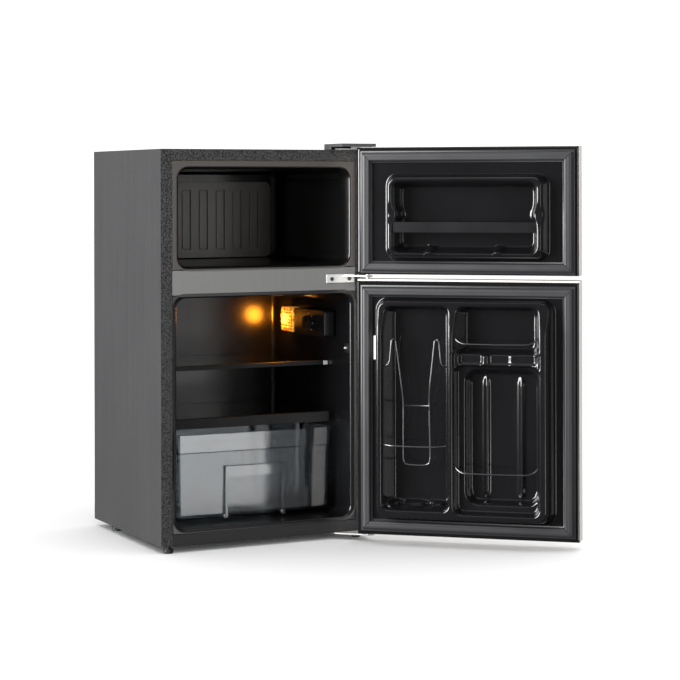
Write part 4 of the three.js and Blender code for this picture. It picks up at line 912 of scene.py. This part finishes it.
lens_low, lens_high = drawn_box("lamp_lens")
lens = copied("lamp_lens", "lamp_cover_lens")
RIDGES = 7
RIDGE_MARGIN, RIDGE_END = 8, 6
RIDGE_HALF, RIDGE_PROUD, RIDGE_ROOT = 1.7, 0.9, 1.2
ridge_pitch = (lens_high.z - lens_low.z - 2 * RIDGE_MARGIN) / (RIDGES - 1)
ridges = []
for i in range(RIDGES):
    z = lens_low.z + RIDGE_MARGIN + i * ridge_pitch
    ridges.append(settle(rounded(
        "ridge", (lens_low.x - RIDGE_PROUD, lens_low.y + RIDGE_END, z - RIDGE_HALF),
        (lens_low.x + RIDGE_ROOT, lens_high.y - RIDGE_END, z + RIDGE_HALF), 1, 0.8,
        edge=0, segments=3)))
combine(lens, "UNION", ridges)
soften(lens, 0.7, 2)
dress(lens, "cabinet", amber_lens, ["lamp_lens"])

knob_low, knob_high = drawn_box("thermostat_knob")
knob = copied("thermostat_knob", "control_knob")
GRIP_LONG = 8
GRIP_HALF = 0.8
KNOB_GRIPS = 18
knob_radius = (knob_high.z - knob_low.z) / 2
knob_y = (knob_low.y + knob_high.y) / 2
knob_z = (knob_low.z + knob_high.z) / 2
grips = []
for i in range(KNOB_GRIPS):
    turn = (i + 0.5) * 2 * math.pi / KNOB_GRIPS
    y = knob_y + knob_radius * math.cos(turn)
    z = knob_z + knob_radius * math.sin(turn)
    grips.append(settle(rounded(
        "grip", (knob_low.x - 1, y - GRIP_HALF, z - GRIP_HALF),
        (knob_low.x + GRIP_LONG, y + GRIP_HALF, z + GRIP_HALF), 0, 0.7, edge=0, segments=2)))
combine(knob, "DIFFERENCE", grips)
soften(knob, 0.5, 2)
dress(knob, "thermostat_knob", satin_black, ["thermostat_knob"])

MARKS = 7
MARK_START, MARK_SPAN = -50, 280
MARK_OUT = 5  # from the knob's edge to a mark's middle
MARK_WIDE, MARK_TALL, MARK_PROUD, MARK_ROOT = 0.7, 1.6, 0.35, 0.3
housing_low = drawn_box("thermostat_housing")[0]
for i in range(MARKS):
    turn = math.radians(MARK_START + i * MARK_SPAN / (MARKS - 1))
    y = knob_y + (knob_radius + MARK_OUT) * math.cos(turn)
    z = knob_z + (knob_radius + MARK_OUT) * math.sin(turn)
    mark = rounded(f"control_mark_{i + 1}",
                   (housing_low.x - MARK_PROUD, y - MARK_WIDE, z - MARK_TALL),
                   (housing_low.x + MARK_ROOT, y + MARK_WIDE, z + MARK_TALL),
                   0, 0.4, edge=0, segments=2)
    smooth(mark)
    place(mark, "cabinet", silver_plastic, [])

refine("light_switch_body", "switch_body", "cabinet", satin_black, 0.8)
refine("light_switch_plunger", "switch_plunger", "light_switch_plunger",
       silver_plastic, 0.9)
print("lens with", RIDGES, "ridges, knob with", KNOB_GRIPS, "grips")

# %% [markdown]
# ## Door skins, caps and gaskets
# Each door is a steel skin between two plastic end caps, filled with foam. The gasket is extruded,
# cut to length and welded at the corners, so its section runs straight along every side and meets
# the next in a mitre. Four points carried through the section's outline give that mitre, and a
# thin blade along each one leaves the line of the weld.

# %% Door skins and gaskets
SECTION = (  # inset and rise round the section
    (0, 0), (0, 3.6), (1.2, 4.6), (3.8, 4.9), (4.8, 6.4), (5.2, 10.6), (6.6, 12.3), (8.6, 12.9),
    (13.2, 12.2), (18.2, 12.9), (20.4, 12.2), (21.6, 10.2), (22.0, 6.2), (23.0, 4.8),
    (25.2, 4.2), (26, 3.0), (26, 0))
SEAM = (0.9, 1.6)  # width and depth of the welded joint
SEAM_REACH = 1.4  # the blade's length against the section's width
SMOOTH_RUBBER = 42


def seam_blade(x, z, y, rising, right, top):
    """A thin blade across a gasket's corner, from its outer point to its inner one."""
    half = SECTION[-1][0] / 2
    blade = block("seam", (-half * SEAM_REACH, -SEAM[1], -SEAM[0] / 2),
                  (half * SEAM_REACH, SEAM[1], SEAM[0] / 2))
    spot = Vector((x + half * (1 - 2 * right), y, z + half * (1 - 2 * top))) * MM
    tilt = Matrix.Rotation(math.radians(-45 if rising else 45), 4, "Y")
    return settle(blade, Matrix.Translation(spot) @ tilt)


def gasket(door):
    """The gasket of a door, drawn shut: its section carried round the four sides."""
    low, high = drawn_box(f"{door}_gasket", shut=True)
    rings = []
    for inset, rise in SECTION:
        x0, x1, z0, z1 = low.x + inset, high.x - inset, low.z + inset, high.z - inset
        rings.append([(x, low.y + rise, z) for x, z in ((x0, z0), (x1, z0), (x1, z1), (x0, z1))])
    piece = pull_skin(f"{door}_seal", rings, fill=False)
    edit(piece, lambda e: min(e.vertices) >= 4 * (len(SECTION) - 1) or max(e.vertices) < 4)
    bpy.ops.mesh.bridge_edge_loops()
    done()
    face_outwards(piece)
    seams = [seam_blade((low.x, high.x)[right], (low.z, high.z)[top], high.y, right == top,
                        right, top) for right in (0, 1) for top in (0, 1)]
    combine(piece, "DIFFERENCE", seams)
    only(piece)
    bpy.ops.object.shade_smooth_by_angle(angle=math.radians(SMOOTH_RUBBER))
    return place(piece, door, gasket_rubber, [f"{door}_gasket"], door=True)


for door in ("freezer_door", "fridge_door"):
    gasket(door)
    refine(f"{door}_skin", f"{door}_outer_skin", door, door_steel, 0.9, 3)
    for end in ("top", "bottom"):
        refine(f"{door}_{end}_cap", f"{door}_{end}_end_cap", door,
               silver_plastic, 1.0)
print("two doors skinned and sealed")

# %% [markdown]
# ## Door liners
# A door liner is drawn like the cabinet's, but it is shallow enough to be a relief: over every
# point of the door there is one height. So a grid is laid over the door, close where the mould is
# steep and open where it is flat, and each point is let down onto the mould, as the hot sheet
# is. The mould is a raised frame with drafted pockets sunk in it, and a blur the size of the
# sheet's thickness gives every edge the radius that a drawn sheet has.

# %% The mould
MOULD_STEP = 0.8  # between the points that the mould is worked out at
DRAWN_RADIUS = 1.5
STEEP_MARGIN = 2
LEAST_STEP = 0.3


def inside(x, z, box, radius):
    """How far a point is inside a rounded rectangle."""
    across = np.abs(x - (box[0] + box[1]) / 2) - (box[1] - box[0]) / 2 + radius
    up = np.abs(z - (box[2] + box[3]) / 2) - (box[3] - box[2]) / 2 + radius
    beyond = np.hypot(np.maximum(across, 0), np.maximum(up, 0))
    return radius - beyond - np.minimum(np.maximum(across, up), 0)


def within(box, left, right, bottom, top):
    """A box with its sides moved in."""
    return (box[0] + left, box[1] - right, box[2] + bottom, box[3] - top)


def down_the_wall(x, z, mouth, floor, radii, levels=24):
    """0 outside a drafted pocket's mouth, 1 on its floor, and between them on its wall."""
    share = np.zeros_like(x)
    for level in range(levels):
        t = (level + 0.5) / levels
        box = [m + (f - m) * t for m, f in zip(mouth, floor)]
        share += np.clip(inside(x, z, box, radii[0] + (radii[1] - radii[0]) * t) + 0.5, 0, 1)
    return share / levels


def blurred(height, reach):
    """A relief with its edges rounded over a distance."""
    steps = int(3 * reach / MOULD_STEP)
    weights = np.exp(-0.5 * (np.arange(-steps, steps + 1) * MOULD_STEP / reach) ** 2)
    weights /= weights.sum()
    for axis in (0, 1):
        margins = [(steps, steps) if a == axis else (0, 0) for a in (0, 1)]
        padded = np.pad(height, margins, mode="edge")
        height = sum(w * np.take(padded, np.arange(k, k + height.shape[axis]), axis=axis)
                     for k, w in enumerate(weights))
    return height


def grid_lines(low, high, steep, close=1.8, open_step=5.5):
    """Lines across a door: close together inside the steep stretches."""
    lines = [low]
    while lines[-1] < high - LEAST_STEP:
        here = lines[-1]
        near = any(a - STEEP_MARGIN <= here <= b + STEEP_MARGIN for a, b in steep)
        step = close if near else open_step
        ahead = [a - STEEP_MARGIN for a, b in steep if here < a - STEEP_MARGIN < here + step]
        lines.append(min([here + step, high] + ahead))
    return np.array(lines)


def drape(name, low, high, mould, steep_x, steep_z):
    """A sheet let down onto a mould."""
    across, up = grid_lines(low.x, high.x, steep_x), grid_lines(low.z, high.z, steep_z)
    fine_x = np.arange(low.x, high.x + MOULD_STEP, MOULD_STEP)
    fine_z = np.arange(low.z, high.z + MOULD_STEP, MOULD_STEP)
    relief = blurred(mould(*np.meshgrid(fine_x, fine_z)), DRAWN_RADIUS)
    column = np.interp(across, fine_x, np.arange(len(fine_x)))
    row = np.interp(up, fine_z, np.arange(len(fine_z)))
    first_column = np.minimum(column.astype(int), len(fine_x) - 2)
    first_row = np.minimum(row.astype(int), len(fine_z) - 2)
    on_column, on_row = (column - first_column)[None, :], (row - first_row)[:, None]
    near = [relief[np.ix_(first_row + i, first_column + j)] for i in (0, 1) for j in (0, 1)]
    lower = near[0] * (1 - on_column) + near[1] * on_column
    upper = near[2] * (1 - on_column) + near[3] * on_column
    drop = lower * (1 - on_row) + upper * on_row
    deselect()
    bpy.ops.mesh.primitive_grid_add(x_subdivisions=len(across) - 1,
                                    y_subdivisions=len(up) - 1, size=1)
    piece = bpy.context.object
    piece.name = name
    x, z = np.meshgrid(across, up)
    piece.data.vertices.foreach_set("co", np.stack([x, drop, z], axis=-1).reshape(-1) * MM)
    thicken(piece, SHEET_WALL, (0, 500, (low.z + high.z) / 2))
    only(piece)
    bpy.ops.object.shade_smooth()
    print(name, "lies on a grid of", len(across), "by", len(up))
    return piece


# %% [markdown]
# ## The freezer door's pocket
# One wide pocket behind a raised frame, with a bar across its mouth to hold packs in. Its side
# walls dip beside the bar, where a hand goes in, and two small feet stand up from its floor.

# %% Freezer door liner
FREEZER_FRAME = 22
FACE = -14.0
FLOOR = -30.0
ridge_low, ridge_high = drawn_box("freezer_door_liner", shut=True)
skin_low, skin_high = drawn_box("freezer_door_skin", shut=True)
FRAME_FOOT = (-175, 171, skin_low.z + 32, skin_high.z - 60)
FREEZER_POCKET = (-154, 154, skin_low.z + 47, skin_high.z - 74)
FRAME_DRAFT = (11, 7, 10, 5)  # left, right, bottom and top
POCKET_DRAFT = (11, 11, 12, 10)
DIP_AT, DIP_REACH, DIP_DEPTH = skin_low.z + 128, 15, 9
WAIST = 0.035
FEET = (-72, 74)
FOOT_AT, FOOT_TALL, FOOT_WIDE, FOOT_HIGH = skin_low.z + 53, 20, 9, 8


def freezer_mould(x, z):
    """Height of the freezer door's liner in front of the cabinet's face, door shut."""
    frame_share = down_the_wall(x, z, FRAME_FOOT, within(FRAME_FOOT, *FRAME_DRAFT), (22, 20))
    height = FACE + (FREEZER_FRAME - FACE) * frame_share
    dip = np.exp(-((z - DIP_AT) / DIP_REACH) ** 2)
    height = np.minimum(height, FREEZER_FRAME - DIP_DEPTH * dip)
    waist = 1 + WAIST * dip
    pocket = down_the_wall(x * waist, z, FREEZER_POCKET, within(FREEZER_POCKET, *POCKET_DRAFT),
                           (16, 12))
    sunk = np.minimum(height, FREEZER_FRAME - (FREEZER_FRAME - FLOOR) * pocket)
    height = np.where(pocket > 0, sunk, height)
    for foot in FEET:
        spread = ((x - foot) / FOOT_WIDE) ** 6 + ((z - FOOT_AT) / FOOT_HIGH) ** 6
        height = height + np.where(pocket > 0.02, FOOT_TALL * np.exp(-spread), 0)
    return height


freezer_sheet = drape("freezer_door_inner_liner", ridge_low, ridge_high, freezer_mould,
                      ((-178, -140), (140, 175), (-86, -58), (60, 88)),
                      ((skin_low.z + 30, skin_low.z + 64), (skin_low.z + 105, skin_low.z + 150),
                       (skin_high.z - 88, skin_high.z - 58)))
place(freezer_sheet, "freezer_door", door_liner_black, ["freezer_door_liner"],
      door=True)

bar_low, bar_high = drawn_box("freezer_door_rack_bar", shut=True)
bar = rounded("freezer_door_pocket_bar", bar_low, bar_high, 1, 3, edge=1.2)
place(bar, "freezer_door", bar_black, ["freezer_door_rack_bar"], door=True)

# %% [markdown]
# ## The fridge door's pockets
# The hinge side holds a column of cans, the other side a shelf above a bay for a tall bottle. Their
# walls stand lower near the top, where cans and jars are lifted out, and sweep up to full height
# below. A ledge with three dimples parts the shelf from the bottle bay, whose floor has two ribs.

# %% Fridge door liner
WALL_TOP = 26.0
STEP = 0.0
LEDGE = 18.0
DIMPLE_DEPTH = 9
door_low, door_high = drawn_box("fridge_door_skin", shut=True)
FH = FRIDGE_MOUTH[1]
CANS = (FH - 172.4, FH - 29, door_low.z + 60, door_high.z - 54)
BAY = (-FH + 47.5, CANS[0] - 10.6)
ledge_low_z, ledge_high_z = door_high.z - 177, door_high.z - 158
bottle_low, bottle_high = door_low.z + 73, ledge_low_z - 8
FRAME = (-FH + 19, FH - 13, door_low.z + 37, CANS[3] + 13)
SHELF_BAY = (*BAY, ledge_high_z, CANS[3])
STEP_BAY = (*BAY, door_low.z + 55, ledge_low_z)
BOTTLE_BAY = (BAY[0] + 4.5, BAY[1] - 22, bottle_low, bottle_high)
SWEEP, SWEEP_DROP = 66, 15  # how far down the walls rise, and by how much
LEDGE_EDGE = 6
DIMPLES = (0.1736, 0.4545, 0.7961)  # shares of the bay's width
DIMPLE_HALF = 0.1378
BOTTLE_RIBS = (0.6474, 0.2397)
BOTTLE_RIB_TALL, BOTTLE_RIB_WIDE = 7, 5
LIP_BUMPS = ((30, 15), (78, 22), (122, 13))  # place along the can column and reach
BUMP_TALL, BUMP_RISE, BUMP_REACH = 22, 3, 11


def pocket_in(height, x, z, mouth, draft, radii, top, bottom):
    """Sinks a drafted pocket into a relief."""
    share = down_the_wall(x, z, mouth, within(mouth, *draft), radii)
    return np.where(share > 0, np.minimum(height, top - (top - bottom) * share), height)


def fridge_mould(x, z):
    """Height of the fridge door's liner in front of the cabinet's face, door shut."""
    frame_share = down_the_wall(x, z, FRAME, within(FRAME, 13, 5, 5, 6), (24, 22))
    height = FACE + (WALL_TOP - FACE) * frame_share
    sweep = np.clip((z - CANS[3] + SWEEP) / SWEEP, 0, 1)
    height = np.minimum(height, WALL_TOP - SWEEP_DROP * sweep * sweep * (3 - 2 * sweep))
    for mouth, draft, radii, top, bottom in (
            (CANS, (11, 17, 5, 8), (14, 12), WALL_TOP, FLOOR),
            (SHELF_BAY, (14, 19, 12, 8), (14, 12), WALL_TOP, FLOOR),
            (STEP_BAY, (4, 6, 4, 3), (16, 16), WALL_TOP, STEP),
            (BOTTLE_BAY, (4.5, 7, 8, 13), (28, 22), STEP, FLOOR)):
        height = pocket_in(height, x, z, mouth, draft, radii, top, bottom)
    on_ledge = ((x > BAY[0]) & (x < BAY[1])
                & (z > ledge_low_z - LEDGE_EDGE) & (z < ledge_high_z + LEDGE_EDGE))
    height = np.where(on_ledge, np.minimum(height, LEDGE), height)
    width = BAY[1] - BAY[0]
    for share in DIMPLES:
        middle, half = BAY[0] + share * width, DIMPLE_HALF * width
        dimple = (middle - half, middle + half, ledge_low_z + 1, ledge_high_z + LEDGE_EDGE)
        height = pocket_in(height, x, z, dimple, (2, 2, 2, 1), (5, 4), LEDGE,
                           LEDGE - DIMPLE_DEPTH)
    rise = (np.clip((z - bottle_low - 12) / 8, 0, 1)
            * np.clip((bottle_high - 16 - z) / 16, 0, 1))
    for share in BOTTLE_RIBS:
        middle = BAY[0] + share * width
        rib = np.exp(-((x - middle) / BOTTLE_RIB_WIDE) ** 2)
        height = np.maximum(height, FLOOR + BOTTLE_RIB_TALL * rise * rib)
    in_column = (z > CANS[2]) & (x > CANS[0]) & (x < CANS[1])
    for along, reach in LIP_BUMPS:
        spread = (((x - CANS[0] - along) / reach) ** 6
                  + ((z - CANS[2] - BUMP_RISE) / BUMP_REACH) ** 6)
        bump = BUMP_TALL * np.exp(-spread)
        height = np.where(in_column, height + bump * (height < STEP), height)
    return height


sheet_low, sheet_high = drawn_box("fridge_door_liner", shut=True)
fridge_sheet = drape("fridge_door_inner_liner", sheet_low, sheet_high, fridge_mould,
                     ((-FH + 17, BAY[0] + 20), (BAY[1] - 36, CANS[0] + 13), (CANS[1] - 19, FH - 11),
                      (-121, -109), (-47, -35)),
                     ((door_low.z + 35, door_low.z + 88), (bottle_high - 16, ledge_high_z + 14),
                      (CANS[3] - 12, CANS[3] + 15)))
place(fridge_sheet, "fridge_door", door_liner_black, ["fridge_door_liner"],
      door=True)

# %% [markdown]
# ## Wires and the striker
# Chromed wires 3 mm thick hold cans and jars in. The working model already bends them to their
# routes with eight sides, and smooth shading makes them look round. The pale striker on the hinge
# side presses the lamp's switch. Hinges, feet and the machine at the back have the right shapes in
# the working model as well, so copies of them only get softened edges.

# %% Wires, striker, bulb, coil and compressor
def round_wire(source, name, body, finish):
    """A copy of a faceted wire, shaded as if round."""
    piece = copied(source, name)
    only(piece)
    bpy.ops.object.shade_smooth()
    return dress(piece, body, finish, [source])


for source in ("can_rack_wire", "can_column_low_wire", "shelf_bay_wire", "bottle_bay_wire"):
    round_wire(source, f"{source}_bright", "fridge_door", chrome_wire_painted_dark)
round_wire("condenser_coil", "condenser_tube", "cabinet", copper)

MACHINE_PARTS = {
    "light_switch_striker": (
        "switch_striker", "fridge_door", "silver_plastic", silver_plastic, 1.4),
    "top_hinge_cover": ("top_hinge_cap", "cabinet", "rail_paint", grey_plastic, 1.2),
    "top_hinge_bracket": ("top_hinge_plate", "cabinet", "hinge_steel", hinge_steel, 0.5),
    "top_hinge_pin": ("top_hinge_pivot", "cabinet", "hinge_steel", hinge_steel, 0.8),
    "middle_hinge_bracket": ("middle_hinge_plate", "cabinet", "hinge_steel", hinge_steel, 0.6),
    "middle_hinge_pin": ("middle_hinge_pivot", "cabinet", "hinge_steel", hinge_steel, 0.8),
    "bottom_hinge_bracket": ("bottom_hinge_plate", "cabinet", "hinge_steel", hinge_steel, 0.6),
    "bottom_hinge_pin": ("bottom_hinge_pivot", "cabinet", "hinge_steel", hinge_steel, 0.8),
    "compressor": ("compressor_shell", "cabinet", "compressor_paint", compressor_paint, 2.0),
    "compressor_relay_cover": ("relay_cover", "cabinet", "matt_black", satin_black, 2.5),
    "drip_tray": ("evaporation_tray", "cabinet", "matt_black", satin_black, 0.6),
    "cord_clamp": ("lead_clamp", "cabinet", "matt_black", satin_black, 0.8),
    "front_left_foot": (
        "levelling_foot_front_left", "front_left_foot", "foot_rubber", foot_rubber, 0.4),
    "front_right_foot": (
        "levelling_foot_front_right", "front_right_foot", "foot_rubber", foot_rubber, 0.4),
    "rear_left_foot": ("foot_rear_left", "cabinet", "foot_rubber", foot_rubber, 0.4),
    "rear_right_foot": ("foot_rear_right", "cabinet", "foot_rubber", foot_rubber, 0.4),
}
for source, (name, body, slot, finish, width) in MACHINE_PARTS.items():
    refine(source, name, body, finish, width)
print("machine parts:", len(MACHINE_PARTS))

# %% [markdown]
# ## Hinge screws
# The middle hinge is held by two pan-head screws with a cross recess. A head is a short lathe
# shape: here a copied screw gets a rounded edge and two crossed blades are cut out of its head.

# %% Cross-headed screws
RECESS = (0.9, 4.6, 1.4)  # width, length and depth
for number in (1, 2):
    low, high = drawn_box(f"middle_hinge_screw_{number}")
    screw = copied(f"middle_hinge_screw_{number}", f"middle_hinge_fixing_{number}")
    soften(screw, 0.7, 3)
    x, z = (low.x + high.x) / 2, (low.z + high.z) / 2
    blades = []
    for wide, tall in ((RECESS[0], RECESS[1]), (RECESS[1], RECESS[0])):
        blades.append(settle(block("blade", (x - wide / 2, low.y - 1, z - tall / 2),
                                   (x + wide / 2, low.y + RECESS[2], z + tall / 2))))
    combine(screw, "DIFFERENCE", blades)
    smooth(screw)
    dress(screw, "cabinet", screw_steel, [f"middle_hinge_screw_{number}"])
print("two screws cut")

# %% [markdown]
# ## Foam in the walls
# Foam fills the cabinet and the doors up to their liners. The drawn sheets dip and curve here and
# there, so each copy of the foam is sawn off flat: the doors' just under the floor of the pockets,
# and the cabinet's behind the mouths.

# %% Foam cores
FOAM_TOP = -32
FOAM_FRONT = 10


def foam_core(source, body, point, normal):
    """A copy of a foam node, sawn off where a plane passes through a point."""
    core = copied(source, f"{source}_core")
    edit(core)
    bpy.ops.mesh.bisect(plane_co=point, plane_no=normal, use_fill=True, clear_outer=True)
    done()
    return dress(core, body, foam, [source])


foam_core("cabinet_foam", "cabinet", ORIGIN + Vector((0, FOAM_FRONT, 0)) * MM, (0, -1, 0))
for door in ("freezer_door", "fridge_door"):
    foam_core(f"{door}_foam", door, SWING @ (ORIGIN + Vector((0, FOAM_TOP, 0)) * MM),
              SWING.to_3x3() @ Vector((0, 1, 0)))
print("foam trimmed in the cabinet and two doors")

# %% [markdown]
# ## Parts that stay as they are
# The cold plate, the thermostat's body and the bulb are hidden or nearly so. They keep the working
# model's shape and only take a finish.

# %% Finishes for the hidden parts
HIDDEN = {"evaporator_plate": cold_plate_coat, "thermostat": galvanised, "lamp_bulb": bulb_glow}
for name, finish in HIDDEN.items():
    for material_slot in frame["nodes"][name].material_slots:
        material_slot.material = finish
print("finished", ", ".join(HIDDEN))

# %% [markdown]
# ## Floor and light
# A pale floor runs on into a white world with no line between them. One large soft light stands on
# the left. It lights the refrigerator only, and the floor is lit evenly by the world. A weak one
# hangs overhead, and three narrow cards stand in front for the gloss black to mirror. The lowest
# card reaches below the floor's level and shows in the clear drawer. Mirrored and refracted rays
# see a world that is nearly dark, as if black flags stood round the set, and the floor isn't
# mirrored either. A small warm light just outside the lens stands for the lamp.

# %% Stage
FLOOR_SIZE = 60
PAPER_PATCH = 400
LIGHTS = {  # place and size in metres, and watts
    "left_side": ((-4.2, -0.3, 1.3), (2.5, 2.6), 540),
    "overhead": ((0.2, -0.6, 3.2), (3.0, 2.6), 26),
    "right_front": ((0.88, -2.9, 0.7), (0.56, 2.1), 6.2),
    "front_strip": ((0.45, -4.4, 0.3), (0.4, 2.4), 26),
    "low_card": ((0.88, -2.9, -0.38), (0.56, 0.5), 4.2),
}
LAMP_WATTS, LAMP_RADIUS = 0.9, 0.018
LAMP_BEFORE, LAMP_BEHIND = 2, 4  # millimetres from the lens towards the middle and the back
SEEN_WORLD, MIRRORED_WORLD = 1.16, 0.09
deselect()
bpy.ops.mesh.primitive_plane_add(size=FLOOR_SIZE)
floor = bpy.context.object
floor.name = "studio_floor"
edit(floor)
bpy.ops.mesh.subdivide(number_cuts=4)
done()
floor_paper, floor_tree = new_finish("white paper sweep", Roughness=0.9)
plug(floor_tree, "Base Color",
     mixed(floor_tree, pattern(floor_tree, PAPER_PATCH), "fafafa", "ffffff"))
floor.data.materials.append(floor_paper)
floor.visible_glossy = False


def hang(name, light, spot):
    """Puts a light in the scene, hidden from the camera."""
    lamp = bpy.data.objects.new(name, light)
    bpy.context.collection.objects.link(lamp)
    lamp.location = spot
    lamp.visible_camera = False
    return lamp


def softbox(name, spot, size, watts, aim):
    """A rectangular soft light that points at a place."""
    light = bpy.data.lights.new(name, "AREA")
    light.shape = "RECTANGLE"
    light.size, light.size_y = size
    light.energy = watts
    lamp = hang(name, light, spot)
    lamp.rotation_euler = (Vector(aim) - Vector(spot)).to_track_quat("-Z", "Y").to_euler()
    return lamp


middle = ORIGIN + Vector((0, DEPTH / 2, HEIGHT / 2)) * MM
for name, (spot, size, watts) in LIGHTS.items():
    lamp = softbox(name, spot, size, watts, (0, 0, 0) if name == "overhead" else middle)
    if name == "left_side":
        unlit = bpy.data.collections.new("not lit by the key light")
        unlit.objects.link(floor)
        unlit.collection_objects[0].light_linking.link_state = "EXCLUDE"
        lamp.light_linking.receiver_collection = unlit

glow = bpy.data.lights.new("lamp_glow", "POINT")
glow.energy = LAMP_WATTS
glow.color = linear("ff9a28")[:3]
glow.shadow_soft_size = LAMP_RADIUS
hang("lamp_glow", glow, ORIGIN + Vector((lens_low.x - LAMP_BEFORE, lens_high.y + LAMP_BEHIND,
                                         (lens_low.z + lens_high.z) / 2)) * MM)

world = bpy.data.worlds.new("studio")
bpy.context.scene.world = world
world.use_nodes = True
sky = world.node_tree
sky.nodes.clear()
ray = node(sky, "ShaderNodeLightPath")
backdrop = node(sky, "ShaderNodeBackground",
                {"Color": linear("ffffff"), "Strength": SEEN_WORLD})
mirrored = node(sky, "ShaderNodeBackground",
                {"Color": linear("ffffff"), "Strength": MIRRORED_WORLD})
straight = node(sky, "ShaderNodeMath",
                {0: ray.outputs["Is Camera Ray"], 1: ray.outputs["Is Diffuse Ray"]},
                operation="MAXIMUM")
chosen = node(sky, "ShaderNodeMixShader",
              {0: straight.outputs[0], 1: mirrored.outputs[0], 2: backdrop.outputs[0]})
node(sky, "ShaderNodeOutputWorld", {"Surface": chosen.outputs[0]})
bpy.context.scene.view_settings.view_transform = "Standard"
print("stage set")
